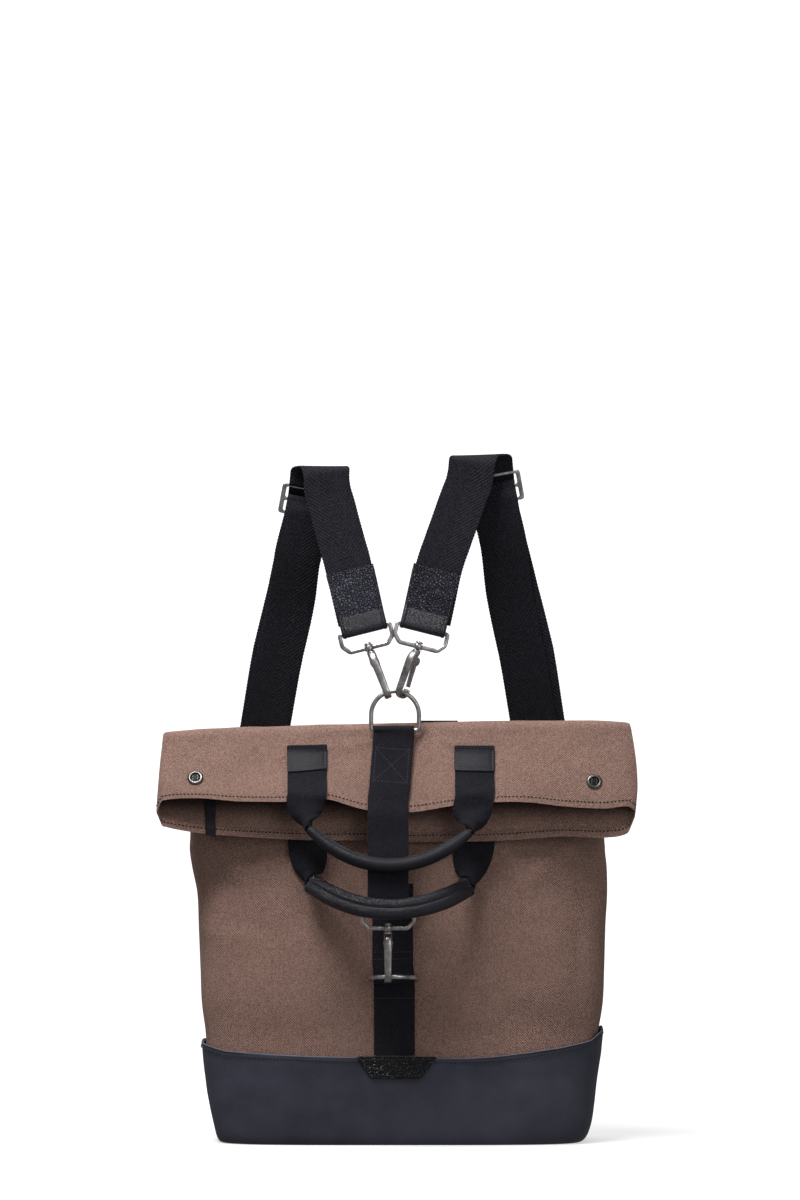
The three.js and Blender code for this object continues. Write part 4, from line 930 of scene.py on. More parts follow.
def on_strip(rows, path, side=1, lift=0.1):
    """Points on a strip's face, from pairs of millimetres across and along."""
    *frames, length = strip_frame(rows)
    made = []
    for a, s in path:
        centre, across, out = (row_at(values, length, s) for values in frames)
        half = np.interp(s, length, rows[:, 7]) / 2
        made.append(centre + across * a + out * side * (half + lift))
    return made


def dense(*corners, step=2.0):
    """Straight lines through corners, as points close together."""
    corners = [np.asarray(c, float) for c in corners]
    made = [corners[0]]
    for a, b in zip(corners, corners[1:]):
        n = max(1, int(np.ceil(np.linalg.norm(b - a) / step)))
        made += [a + (b - a) * (i + 1) / n for i in range(n)]
    return made


def from_top(rows):
    """The rows, turned about where they start at the lower end."""
    return rows[::-1] if rows[0, 2] < rows[-1, 2] else rows


WEBBING = cloth_material("black_webbing", dark=rgb(6, 6, 9), light=rgb(50, 50, 60), thread=0.0008, rough=0.82,
                         patches=(0.85, 1.1), sheen=0.05, sheen_tint=rgb(120, 120, 140), coarse=12.0)
front_upper = from_top(smooth_path(strip_rows("front_strap_upper"), 2.2))
strip_piece("front_strap_upper_webbing", "front_strap_upper", front_upper, WEBBING, "webbing")
front_lower = smooth_path(strip_rows("front_strap_lower"), 2.2)
strip_piece("front_strap_lower_webbing", "front_strap_lower", front_lower, WEBBING, "webbing")


def length_at(rows, z):
    """Length along a strip where its middle line is at height z, on its foremost pass."""
    centre, _, _, length = strip_frame(rows)
    hits = [i for i in range(len(rows) - 1) if (centre[i, 2] - z) * (centre[i + 1, 2] - z) <= 0]
    best = min(hits, key=lambda i: centre[i, 1])
    return length[best]


def out_side(rows, s):
    """Which face of a strip looks to the front at a length along it."""
    _, _, out, length = strip_frame(rows)
    return -1 if np.interp(s, length, out[:, 1]) > 0 else 1


STRAP_SEAM = dict(thread=BLACK_THREAD, slot="webbing", pitch=2.7, length=1.9, radius=0.3)
BOX_TOP, BOX_BOTTOM, BOX_HALF = 337.5, 309.0, 14.2
ROW_HEIGHTS, ROW_HALF = (161.0, 166.0, 128.0), 15
top_s, bottom_s = length_at(front_upper, BOX_TOP), length_at(front_upper, BOX_BOTTOM)
face = out_side(front_upper, (top_s + bottom_s) / 2)
box = [(-BOX_HALF, top_s), (BOX_HALF, top_s), (BOX_HALF, bottom_s), (-BOX_HALF, bottom_s), (-BOX_HALF, top_s)]
boxed_cross = [on_strip(front_upper, dense(*corners), face) for corners in (box, box[0:3:2], box[1:4:2])]
stitch("boxed_cross_stitches", boxed_cross, **STRAP_SEAM)
rows_across = []
for z in ROW_HEIGHTS:
    s = length_at(front_lower, z)
    rows_across.append(on_strip(front_lower, dense((-ROW_HALF, s), (ROW_HALF, s)), out_side(front_lower, s)))
stitch("lower_strap_stitches", rows_across, **STRAP_SEAM)


# Rings and snap hooks. Cast and bent metal in brushed antique nickel: two D-rings of 3.8 mm wire and
# three swivel snap hooks, each a frame, a hook body with a bowl, and a sprung gate on its own pin.
def metal_material(name, dark, light):
    """Antique nickel: brushed streaks, dark tarnish in blotches, paler rubbed places."""
    material, bsdf, (add, maths, mix, spread) = principled(name, Metallic=1.0, Specular_IOR_Level=0.5)
    link = material.node_tree.links.new
    place = add("ShaderNodeTexCoord").outputs["Object"]
    blot = add("ShaderNodeTexNoise",
               inputs={"Vector": place, "Scale": 130.0, "Detail": 5.0, "Roughness": 0.65}).outputs[0]
    drawn = add("ShaderNodeMapping", inputs={"Vector": place, "Scale": (1400, 1400, 240)}).outputs[0]
    fine = add("ShaderNodeTexNoise", inputs={"Vector": drawn, "Scale": 1.0, "Detail": 3.0}).outputs[0]
    worn = spread(maths("ADD", blot, maths("MULTIPLY", fine, 0.3)), 0.45, 0.85)
    link(mix(worn, dark, light), bsdf.inputs["Base Color"])
    link(spread(fine, 0.3, 0.7, 0.42, 0.26), bsdf.inputs["Roughness"])
    raised = add("ShaderNodeBump", inputs={"Strength": 0.25, "Distance": 0.00015, "Height": fine})
    link(raised.outputs[0], bsdf.inputs["Normal"])
    return material


NICKEL = metal_material("antique_nickel", rgb(132, 128, 128), rgb(222, 218, 218))


def bar_rings(path, normal, sizes, sides=16, square=2.6, closed=False):
    """Sections of a bent bar that lies in a plane. sizes: height in the plane and width across it."""
    path = np.asarray(path, float)
    if closed:
        along = np.roll(path, -1, 0) - np.roll(path, 1, 0)
    else:
        along = np.gradient(path, axis=0)
    along /= np.linalg.norm(along, axis=1)[:, None]
    n = normal - along * (along @ normal)[:, None]
    n /= np.linalg.norm(n, axis=1)[:, None]
    out = np.cross(n, along)
    q = 2 * np.pi * (np.arange(sides) + 0.5) / sides
    c = np.sign(np.cos(q)) * np.abs(np.cos(q)) ** (2 / square)
    d = np.sign(np.sin(q)) * np.abs(np.sin(q)) ** (2 / square)
    sizes = np.broadcast_to(np.asarray(sizes, float), (len(path), 2))
    return [p + o * (c * h / 2)[:, None] + m * (d * w / 2)[:, None]
            for p, o, m, (h, w) in zip(path, out, n, sizes)]


def joined(parts):
    """Several closed shells as one list of points and faces."""
    points, faces = [], []
    for p, f in parts:
        faces += [[i + len(points) for i in face] for face in f]
        points += [tuple(v) for v in np.asarray(p).reshape(-1, 3)]
    return np.array(points), faces


def metal_piece(name, parts, body, node=None, material=NICKEL):
    """One piece of metal from closed shells, on its own body."""
    points, faces = joined([(p, oriented(p, f)) for p, f in parts])
    made = make_mesh(name, points, faces, material)
    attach(made, body)
    if node:
        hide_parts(node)


def rounded_path(corners, radius, steps):
    """A closed line through corners, each rounded as far as its sides leave room."""
    corners = np.asarray(corners, float)
    made = []
    for i, corner in enumerate(corners):
        before, after = corners[i - 1] - corner, corners[(i + 1) % len(corners)] - corner
        r = min(radius, np.linalg.norm(before) * 0.45, np.linalg.norm(after) * 0.45)
        a = corner + before / np.linalg.norm(before) * r
        b = corner + after / np.linalg.norm(after) * r
        made += [(1 - t)**2 * a + 2 * t * (1 - t) * corner + t**2 * b for t in np.linspace(0, 1, steps)]
    return np.array(made)


WIRE_THICK = 3.8
RING_HALF, RING_LEG = 20.3, 13.0


def d_ring(name, centre, up, node):
    """A D-ring: a straight bar with rounded ends and an arch."""
    up = np.asarray(up, float)
    arch = [(RING_HALF * math.cos(a), RING_LEG + RING_HALF * math.sin(a))
            for a in np.linspace(0, math.pi, 40)]
    corner = [(RING_HALF - 2.6, 0), (RING_HALF - 0.7, 0.7), (RING_HALF, 2.6), (RING_HALF, 6.0)]
    flat = [(-x, h) for x, h in corner[::-1]] + [(-8, 0), (0, 0), (8, 0)] + corner
    path = [np.asarray(centre) + np.array([x, 0, 0]) + up * h for x, h in arch + flat]
    rings = bar_rings(path, np.cross([1, 0, 0], up), (WIRE_THICK, WIRE_THICK), 14, 2.0, True)
    metal_piece(name, [loft(rings, closed=True)], "bag", node)


TOP_RING = np.array([-1.5, -50.616, 353.6])
LOWER_RING = np.array([-2.6, -65.160, 142.686])
LOWER_UP = np.array([0, -0.99027, 0.13917])
d_ring("top_d_ring", TOP_RING, (0, 0, 1), "top_ring")
d_ring("lower_d_ring", LOWER_RING, LOWER_UP, "lower_ring")


def around_axis(axis, sides):
    """Unit axis, and unit directions all round it."""
    axis = np.asarray(axis, float) / np.linalg.norm(axis)
    side = np.cross(axis, [0.3, 1, 0.2])
    side /= np.linalg.norm(side)
    q = 2 * np.pi * np.arange(sides) / sides
    return axis, np.cos(q)[:, None] * side + np.sin(q)[:, None] * np.cross(axis, side)


def lathe(profile, origin, axis, sides):
    """A turned part: pairs of radius and height along an axis, closed at both ends."""
    axis, around = around_axis(axis, sides)
    return loft([np.asarray(origin) + axis * h + around * r for r, h in profile])


def ring_lathe(profile, origin, axis, sides):
    """A turned ring: a closed profile of radius and height swept once round an axis."""
    axis, around = around_axis(axis, sides)
    rings = [[np.asarray(origin) + axis * h + away * r for r, h in profile] for away in around]
    return loft(rings, closed=True)


#   the hook's own places: y toward its back, z up from the middle of its bowl
BOWL = 5.7
BOWL_TURNS = [math.radians(a) for a in np.linspace(-10, -180, 14)]
SPINE = [(BOWL, 1.6), *[(BOWL * math.cos(a), BOWL * math.sin(a)) for a in BOWL_TURNS], (-BOWL, 8),
         (-BOWL, 13), (-BOWL, 18), (-5.3, 22), (-4.4, 26), (-3.4, 29), (-1.6, 32), (-0.4, 33.6), (0, 35)]
SPINE_SIZES = [(2.4, 5.2), *[(3.2, 6.0)] * 14, (3.2, 6.2), (3.3, 6.4), (3.8, 6.6), (5.0, 6.8), (7.0, 7.0),
               (7.4, 7.2), (6.6, 7.2), (5.8, 7.0), (5.4, 6.6)]
EAR = [(-4, 22.5), (3.2, 22.8), (5.2, 25), (5.2, 28), (2.6, 30), (-2, 30.5)]
PIN_AT = (0, 2.4, 26.5)
PIN = [(0.05, -4.0), (1.25, -4.0), (1.4, -3.8), (1.4, 3.8), (1.25, 4.0), (0.05, 4.0)]
COLLAR = [(0.05, 33.4), (2.6, 33.4), (3.4, 34.0), (3.5, 35.4), (2.9, 36.2), (1.8, 36.6), (1.7, 41.6),
          (2.9, 41.8), (3.1, 42.3), (3.0, 43.0), (2.2, 43.5), (0.05, 43.6)]
#   y, z, height and width of the gate
GATE = [(3.0, 25.6, 2.6, 4.4), (3.9, 20, 2.9, 4.3), (4.3, 14, 2.7, 4.1), (5.0, 8, 2.3, 4.0),
        (5.6, 3.7, 2.1, 3.8)]
GATE_BARREL = [(0.05, -2.1), (1.8, -2.1), (1.95, -1.9), (1.95, 1.9), (1.8, 2.1), (0.05, 2.1)]
FRAME_BASE = 39
FRAME_CORNERS = [(-4.5, 0), (4.5, 0), (16.5, 0), (22, 6), (22, 16.2), (-22, 16.2), (-22, 6), (-16.5, 0)]
FRAME_BOSS = [(2.1, -2.2), (3.7, -2.2), (4.0, -1.9), (4.0, 1.9), (3.7, 2.2), (2.1, 2.2)]


def snap_hook(key, x, z, centre, aim, body):
    """A swivel snap hook from its own sideways and upward directions, with its frame turned to aim."""
    x, z, centre, aim = (np.asarray(v, float) for v in (x, z, centre, aim))
    y = np.cross(z, x)

    def place(a, b, c):
        return centre + x * a + y * b + z * c
    path = smooth_path([(*place(0, a, b), *size) for (a, b), size in zip(SPINE, SPINE_SIZES)], 0.9)
    parts = [loft(bar_rings(path[:, :3], x, path[:, 3:], 20, 3.2))]
    for cheek in (-1, 1):
        rim = rounded_path([place(cheek * 2.7, b, c) for b, c in EAR], 1.6, 5)
        parts.append(loft([rim.mean(0) + (rim - rim.mean(0)) * k + x * cheek * h for k, h in
                           ((0.05, 0), (1, 0), (1.0, 0.75), (0.93, 0.95), (0.05, 0.95))]))
    parts.append(lathe(PIN, place(*PIN_AT), x, 16))
    parts.append(lathe(COLLAR, centre, z, 24))
    metal_piece(f"{key}_hook_casting", parts, "bag", f"{key}_hook_body")
    gate_line = smooth_path([(*place(0, a, b), h, w) for a, b, h, w in GATE], 1.2)
    gate = [loft(bar_rings(gate_line[:, :3], x, gate_line[:, 3:], 14, 3.2)),
            lathe(GATE_BARREL, place(*PIN_AT), x, 20)]
    metal_piece(f"{key}_hook_lever", gate, body, f"{key}_hook_gate")
    origin = centre + z * FRAME_BASE
    out = (aim - origin) / np.linalg.norm(aim - origin)
    across = np.array([out[2], 0, -out[0]]) / np.hypot(out[0], out[2])
    wire = rounded_path([origin + across * a + out * h for a, h in FRAME_CORNERS], 1.7, 6)
    frame_parts = [loft(bar_rings(wire, np.cross(out, across), (3.5, 3.1), 16, 3.0, True), closed=True),
                   ring_lathe(FRAME_BOSS, origin, z, 24)]
    metal_piece(f"{key}_hook_wire_frame", frame_parts, "bag", f"{key}_hook_frame")


#   sideways and upward direction, middle of the bowl, place that the frame points to
HOOKS = {
    "front": ((1, 0, 0), (0, 0.02999, 0.99955), (-7.4, -98.076, 149.32), (-7.4, -96.136, 247.321)),
    "left": ((0.9315, 0.05638, 0.35935), (-0.36374, 0.14437, 0.92024), (-9.327, -50.327, 387.458),
             (-39.398, -33, 486.5)),
    "right": ((0.78255, -0.56671, -0.25779), (0.33015, 0.02669, 0.94355), (5.26, -50.562, 387.849),
              (33.995, -33, 488)),
}
for key, places in HOOKS.items():
    snap_hook(key, *places, f"{key}_gate")


# Carry handles. Webbing legs sewn to the bag under small leather tabs curl lengthwise where they
# enter the grips. The front grip is a rolled leather band with both cut edges up; the lower one is a
# wider wrap with a burnished, whip-stitched ridge.
LEG_WALL, LEG_CURL = 1.6, 20.0
LEG_WIDE = {"front": 33.4, "lower": 35.1}
LEG_TURN = math.radians(60)
#   each leg where it leaves the bag: outer x, z and inner x, z of its edges
LEG_EDGES = {
    "front_left": [
        (-93.3, 292.4, -62.1, 292.4), (-89.8, 285.5, -63.7, 286.6), (-85.8, 279.2, -67.0, 282.5),
        (-81.1, 273.9, -70.5, 279.3), (-76.8, 269.9, -72.6, 276.0)],
    "front_right": [
        (81.0, 290.1, 47.0, 288.9), (79.1, 283.1, 48.4, 283.1), (75.1, 276.8, 52.1, 279.7),
        (69.7, 271.5, 56.1, 276.2), (65.0, 267.6, 59.1, 272.8)],
    "lower_left": [
        (-91.7, 252.6, -59.0, 252.6), (-90.0, 244.3, -59.9, 244.3), (-87.0, 237.3, -61.8, 237.3),
        (-83.0, 231.5, -65.3, 233.4), (-79.4, 226.8, -68.8, 231.5), (-75.9, 221.7, -72.4, 228.7)],
    "lower_right": [
        (82.4, 252.6, 48.0, 252.6), (79.8, 243.2, 48.3, 242.0), (76.2, 236.1, 50.4, 235.0),
        (72.2, 229.1, 54.6, 230.3), (68.2, 222.1, 59.3, 228.7), (65.2, 217.9, 61.2, 226.4)]}


def curl_for(share):
    """Angle of the arc whose width is the given share of its length."""
    angles = np.linspace(0.02, 6.1, 300)
    shares = np.where(angles <= np.pi, np.sin(angles / 2) / (angles / 2), 2 / angles)
    return np.interp(share, shares[::-1], angles[::-1])


def handle_leg(handle, key, outer_side, end):
    """A webbing leg that lies flat on the bag and curls into the end of its grip."""
    node, wide = f"{handle}_handle_leg_{key}", LEG_WIDE[handle]
    edges = np.array(LEG_EDGES[f"{handle}_{key}"])
    flat = strip_rows(node)
    flat = from_top(flat[flat[:, 6] > wide - 1.2])
    if flat[0, 3] < 0:
        flat[:, 3:6] *= -1
    flat = flat[flat[:, 2] > edges[0, 1::2].max() + 5]
    turning = []
    for i, (ox, oz, ix, iz) in enumerate(edges):
        share = (i + 1) / len(edges)
        over = np.array([ix - ox, 0, iz - oz]) * -outer_side
        y = flat[-1, 1] + (end[1] - flat[-1, 1]) * share**1.3
        wide_here = np.linalg.norm(over)
        turning.append([(ox + ix) / 2, y, (oz + iz) / 2, *(over / wide_here), wide_here, 2])
    rows = smooth_path(np.concatenate([flat, turning]), 0.9)
    centre, across, out, length = strip_frame(rows)
    across = np.where(np.sum(across * across[0], 1)[:, None] < 0, -across, across)
    out = np.where(out[:, 1:2] > 0, -out, out)
    width = np.minimum(rows[:, 6], wide)
    u = np.linspace(-1, 1, 31)
    grids = [[], []]
    for c, a, o, w in zip(centre, across, out, width):
        k = np.clip((wide - w) / (wide - 9), 0, 1)
        arc = wide + (LEG_CURL - wide) * k
        angle = curl_for(min(0.9999, max(w - LEG_WALL * k, 3) / arc))
        radius = arc / angle
        p, q = radius * np.sin(angle * u / 2), radius * (np.cos(angle * u / 2) - 1)
        q = q - q.mean()
        turn = outer_side * LEG_TURN * np.clip((angle - 2.2) / 2.4, 0, 1)
        sine, cosine = np.sin(angle * u / 2), np.cos(angle * u / 2)
        over, up = p * math.cos(turn) + q * math.sin(turn), -p * math.sin(turn) + q * math.cos(turn)
        n_over = sine * math.cos(turn) + cosine * math.sin(turn)
        n_up = -sine * math.sin(turn) + cosine * math.cos(turn)
        for grid, half in zip(grids, (LEG_WALL / 2, -LEG_WALL / 2)):
            grid.append(c + a * (over + n_over * half)[:, None] + o * (up + n_up * half)[:, None])
    points, faces = shell(np.array(grids[0]), np.array(grids[1]))
    uv = np.stack(np.broadcast_arrays(u * wide / 2, length[:, None]), -1).reshape(-1, 2)
    uv = np.concatenate([uv, uv])
    on_bag(make_mesh(f"{handle}_leg_{key}", points, oriented(points, faces), WEBBING, uv), "webbing", node)


#   the sagging line: shares of the way across, forward and down
GRIP_X = np.array([0, 0.16, 0.34, 0.52, 0.7, 0.87, 1])
GRIP_Y = np.array([0, 0.55, 0.96, 1, 0.9, 0.55, 0])
GRIP_Z = np.array([0, 0.55, 0.9, 1, 0.85, 0.46, 0])
#   height in the grip's plane and depth toward the viewer, round the section
ROLLED = [
    (4.3, 1.7), (5.2, 1.5), (5.6, 1.0), (5.45, 0.4), (4.8, 0.15), (5.45, -0.1), (5.6, -0.7), (5.2, -1.2),
    (4.3, -1.4), (3.2, -3.2), (1.0, -4.6), (-1.6, -4.9), (-4.2, -3.7), (-5.5, -1.6), (-5.6, 0.6), (-5.0, 3.0),
    (-3.2, 4.6), (-0.6, 5.1), (2.0, 4.5), (3.6, 3.2)]
WRAPPED = [
    (5.6, 0.4), (5.3, 2.5), (4.0, 4.0), (2.2, 4.5), (1.1, 4.1), (0.6, 4.0), (0.2, 4.7), (-1.2, 5.1),
    (-3.6, 4.9), (-5.2, 3.4), (-5.6, 1.0), (-5.5, -1.6), (-4.4, -4.0), (-2.0, -5.1), (1.0, -5.1),
    (3.6, -4.2), (5.0, -2.4), (5.5, -0.8)]
WHIP_PITCH = 2.9


def rounded_loop(points, rounds=2):
    """A closed outline with its corners cut twice over, so it turns smoothly."""
    points = np.asarray(points, float)
    for _ in range(rounds):
        after = np.roll(points, -1, 0)
        points = np.stack([points * 0.75 + after * 0.25, points * 0.25 + after * 0.75], 1).reshape(-1, 2)
    return points


def grip(name, node, left, right, low_z, front_y, end_y, section, material, thick, slim, whip_depth=0.0,
         end_band=False):
    """A leather grip swept along its sagging line, slimmer at its ends. Returns its two end points."""
    x = left[0] + (right[0] - left[0]) * GRIP_X
    y = end_y + (front_y - end_y) * GRIP_Y
    ends_z = np.array([left[1]] * 4 + [right[1]] * 3)
    path = smooth_path(np.stack([x, y, ends_z + (low_z - ends_z) * GRIP_Z], 1), 0.8)
    along = np.gradient(path, axis=0)
    along /= np.linalg.norm(along, axis=1)[:, None]
    length = step_lengths(path)
    toward = np.array([0, -1.0, 0]) - along * (along @ np.array([0, -1.0, 0]))[:, None]
    toward /= np.linalg.norm(toward, axis=1)[:, None]
    up = np.cross(along, toward)
    if up[len(up) // 2, 2] < 0:
        up = -up
    outline = rounded_loop(section) * thick
    rings = []
    for p, u, t, s in zip(path, up, toward, length):
        end = min(s, length[-1] - s)
        size = 1 - slim * max(0, 1 - end / 40) ** 2 - 0.07 * max(0, 1 - end / 0.9) ** 2
        if end_band:
            size += 0.035 * (1 / (1 + math.exp((end - 3.4) * 4))) - 0.05 * math.exp(-((end - 3.9) / 0.35)**2)
        shape = outline * size
        high = np.clip((shape[:, 0] / thick[0] - 1.4) / 1.5, 0, 1) * np.clip((shape[:, 1] + 3) / 2, 0, 1)
        uneven = 0.8 * noise.noise(Vector((s / 9, 0, 3)))
        wave = 0.5 + 0.5 * np.sin(s * 2 * math.pi / WHIP_PITCH + shape[:, 0] * 1.1 + uneven)
        outward = outline / np.linalg.norm(outline, axis=1)[:, None]
        shape = shape - outward * (high * wave * whip_depth)[:, None]
        soft = 1 + 0.12 * noise.noise(Vector((s / 14, 2, 7))) / 6
        rings.append(p + u * (shape[:, :1] * soft) + t * (shape[:, 1:] * soft))
    points, faces = loft(rings)
    on_bag(make_mesh(name, points, oriented(points, faces), material), "grain_leather", node)
    return path[0], path[-1]


SMOOTH_LEATHER = leather_material(
    "black_smooth_leather", dark=rgb(10, 10, 18), light=rgb(24, 24, 36), grain=0.0006, crease=0.9,
    rough=(0.38, 0.52), bump=0.4, depth=0.0002, specular=0.3, valley_shade=0.15)
RIDGE_LEATHER = leather_material(
    "burnished_leather", dark=rgb(10, 10, 18), light=rgb(26, 26, 38), grain=0.0009, crease=0.8,
    rough=(0.26, 0.38), bump=0.6, depth=0.0003, specular=0.5, valley_shade=0.2)
front_ends = grip("front_grip_roll", "front_handle_grip", left=(-74.7, 272.0), right=(61.9, 269.2),
                  low_z=241.9, front_y=-102, end_y=-89.6, section=ROLLED, material=SMOOTH_LEATHER,
                  thick=(1.08, 1.0), slim=0.36)
lower_ends = grip("lower_grip_wrap", "lower_handle_grip", left=(-73.2, 224.5), right=(60.6, 221.7),
                  low_z=205.4, front_y=-109, end_y=-69.2, section=WRAPPED, material=RIDGE_LEATHER,
                  thick=(1.6, 1.15), slim=0.1, whip_depth=0.5, end_band=True)
for i, (key, side) in enumerate((("left", -1), ("right", 1))):
    handle_leg("front", key, side, front_ends[i])
    handle_leg("lower", key, side, lower_ends[i])
TAB_CORNERS = {
    "left": [(-93.2, 341.2), (-59.2, 342.0), (-58.8, 321.6), (-92.8, 318.6)],
    "right": [(49, 341.2), (83.1, 341.0), (82.9, 319.4), (48.9, 320.2)]}
tab_lines = []
for key, x in (("left", -76.0), ("right", 66.0)):
    leg_front = front_of(bpy.data.objects[f"front_leg_{key}"])

    def on_leg(px, pz):
        """The leg's face, held level past its edges and its upper end."""
        return leg_front(np.clip(px, x - 15, x + 15), min(pz, 336.5))
    outline = rounded_outline(TAB_CORNERS[key], 1.4)
    line = patch(f"front_tab_{key}", f"front_handle_tab_{key}", outline, on_leg, 1.3, SMOOTH_LEATHER, 2.1)
    tab_lines.append(line)
stitch("tab_stitches", tab_lines, BLACK_THREAD, "grain_leather", pitch=2.7, length=2.0, radius=0.3)


# Shoulder straps. 38 mm herringbone webbing: each runs down the back through a slider, round a ring
# at the lower corner, back up and over its crest into a pebbled leather end on the hook's frame.
STRAP_WEBBING = cloth_material("herringbone_webbing", dark=rgb(5, 5, 8), light=rgb(56, 56, 66),
                               thread=0.00115, rough=0.8, patches=(0.88, 1.08), sheen=0.05,
                               sheen_tint=rgb(120, 120, 140), coarse=12.0, chevron=1.0)
WEBBING_RIB, WEBBING_NIP, WEBBING_FULLER, SLIDER_DROP = 2.9, 0.35, 2.2, 9.5


def ribbed_webbing(name, node, material, sway, parted):
    """Webbing whose edges show the rib of each weft turn, swept aside behind the bag."""
    rows = from_top(smooth_path(strip_rows(node), 0.72))
    back = np.clip((rows[:, 1] + 30) / 22, 0, 1)
    rows[:, 0] += sway * back * np.interp(rows[:, 2], (110, 250, 340, 420, 545), (0, 1, 1, 0.75, 0))
    under = np.arange(len(rows)) > np.argmin(rows[:, 2])
    rows[:, 0] += parted * under * np.interp(rows[:, 2], (110, 200, 420, 520), (0, 1, 1, 0))
    below_crest = np.clip((rows[:, 2].max() - 6 - rows[:, 2]) / 12, 0, 1)
    rows[:, 2] -= SLIDER_DROP * back * below_crest * np.clip((rows[:, 2] - 400) / 80, 0, 1)
    rows[:, 6] += WEBBING_FULLER * np.interp(rows[:, 2], (110, 300, 400), (0, 0.4, 1))
    rows[:, 6] -= WEBBING_NIP * (1 - np.cos(strip_frame(rows)[3] * 2 * np.pi / WEBBING_RIB))
    strip_piece(name, node, rows, material, "webbing", sides=7)


# The pale colour of the pebbles' domes, against their darkened valleys, is painted highlight and painted
# shade for lit grain; the fold below keeps the leather's own black.
GRAIN_LEATHER = leather_material(
    "black_pebbled_leather", dark=rgb(54, 54, 66), light=rgb(82, 82, 98), grain=0.0024, crease=0.15,
    rough=(0.26, 0.4), bump=1.0, depth=0.0022, specular=0.5, valley_shade=0.82)
FOLD_LEATHER = leather_material(
    "folded_leather", dark=rgb(18, 18, 27), light=rgb(34, 34, 48), grain=0.0008, crease=1.0,
    rough=(0.3, 0.42), bump=0.5, depth=0.0003, specular=0.5, valley_shade=0.2)
END_THREAD = thread_material("waxed_black_thread", rgb(7, 7, 10), 0.35)
END_FOLD, END_STITCH_IN, END_STITCH_HALF = 38.5, 2.9, 17.4


def leather_end(name, node, key):
    """A leather end: pebbled and stitched where it is doubled, smooth where it folds round the bar."""
    rows = smooth_path(strip_rows(node), 1.0)
    centre, _, out, length = strip_frame(rows)
    total = length[-1]
    swell = rows.copy()
    near_end = np.minimum(length, total - length)
    swell[:, 6] += 0.4 + 2.2 * np.clip(1 - near_end / 40, 0, 1)
    swell[:, 7] += 0.5 * np.exp(-(near_end / 1.4)**2) - 0.35 * np.exp(-((near_end - 2.9) / 0.8)**2)
    swell[:, 7] += 0.7 * np.clip((near_end - END_FOLD) / 3, 0, 1)
    points, faces, uv = strip_mesh(swell, rim=0.45)
    faces = oriented(points, faces)
    made = make_mesh(name, points, faces, GRAIN_LEATHER, uv)
    made.data.materials.append(FOLD_LEATHER)
    along_face = np.array([np.mean([uv[i][1] for i in face]) for face in faces])
    folded = (along_face > END_FOLD) & (along_face < total - END_FOLD)
    made.data.polygons.foreach_set("material_index", folded.astype(int))
    on_bag(made, "grain_leather", node)
    lines = []
    half = END_STITCH_HALF
    for a, b in ((END_STITCH_IN, END_FOLD), (total - END_FOLD, total - END_STITCH_IN)):
        middle = (a + b) / 2
        outward = row_at(centre, length, middle) - centre.mean(0)
        face = 1 if row_at(out, length, middle) @ outward > 0 else -1
        box = dense((-half, a), (half, a), (half, b), (-half, b), (-half, a))
        lines.append(on_strip(rows, box, face, 0.05))
    stitch(f"strap_end_stitches_{key}", lines, END_THREAD, "grain_leather", pitch=3.0, length=2.2,
           radius=0.42)


SLIDER_THICK, SLIDER_BEVEL = 2.6, 0.55
SLIDER_LEAN_BACK = -0.12
SLIDER_EDGE = [(-26, -13), (26, -13), (26, 13), (-26, 13)]
SLIDER_SLOT = [(-22.2, 1.3), (22.2, 1.3), (22.2, 10.4), (-22.2, 10.4)]


def slider_plate(key, centre, lean, node):
    """A flat slider, cast with two slots and softened edges."""
    lean = math.radians(lean)
    across = np.array([math.cos(lean), 0, math.sin(lean)])
    up = np.array([-math.sin(lean), SLIDER_LEAN_BACK, math.cos(lean)])
    up /= np.linalg.norm(up)
    curve = bpy.data.curves.new(node, "CURVE")
    curve.dimensions = "2D"
    curve.fill_mode = "BOTH"
    curve.extrude = SLIDER_THICK / 2 - SLIDER_BEVEL
    curve.bevel_depth = SLIDER_BEVEL
    curve.bevel_resolution = 3
    loops = [(rounded_path(SLIDER_EDGE, 3.2, 7), SLIDER_BEVEL)]
    for f in (-1, 1):
        loops.append((rounded_path([(a, f * b) for a, b in SLIDER_SLOT], 1.6, 5), -SLIDER_BEVEL))
    for loop, shift in loops:
        spline = curve.splines.new("POLY")
        drawn = inset_outline(loop, shift)
        spline.points.add(len(drawn) - 1)
        spline.points.foreach_set("co", [v for p in drawn for v in (p[0], p[1], 0, 1)])
        spline.use_cyclic_u = True
    shape = bpy.data.objects.new(node, curve)
    bpy.context.collection.objects.link(shape)
    bpy.context.view_layer.update()
    flat = bpy.data.meshes.new_from_object(shape.evaluated_get(bpy.context.evaluated_depsgraph_get()))
    bpy.data.objects.remove(shape)
    mesh = bmesh.new()
    mesh.from_mesh(flat)
    bmesh.ops.remove_doubles(mesh, verts=mesh.verts, dist=1e-4)
    mesh.verts.ensure_lookup_table()
    local = np.array([v.co[:] for v in mesh.verts])
    faces = [[v.index for v in f.verts] for f in mesh.faces]
    mesh.free()
    normal = np.cross(across, up)
    points = np.asarray(centre) + local[:, :1] * across + local[:, 1:2] * up + local[:, 2:] * normal
    metal_piece(f"strap_slider_{key}", [(points, faces)], "bag", node)


RING_SWING = 14
STRAP_RING_CORNERS = [(-22.4, -7), (0, -7), (22.4, -7), (22.4, 7), (0, 7), (-22.4, 7)]


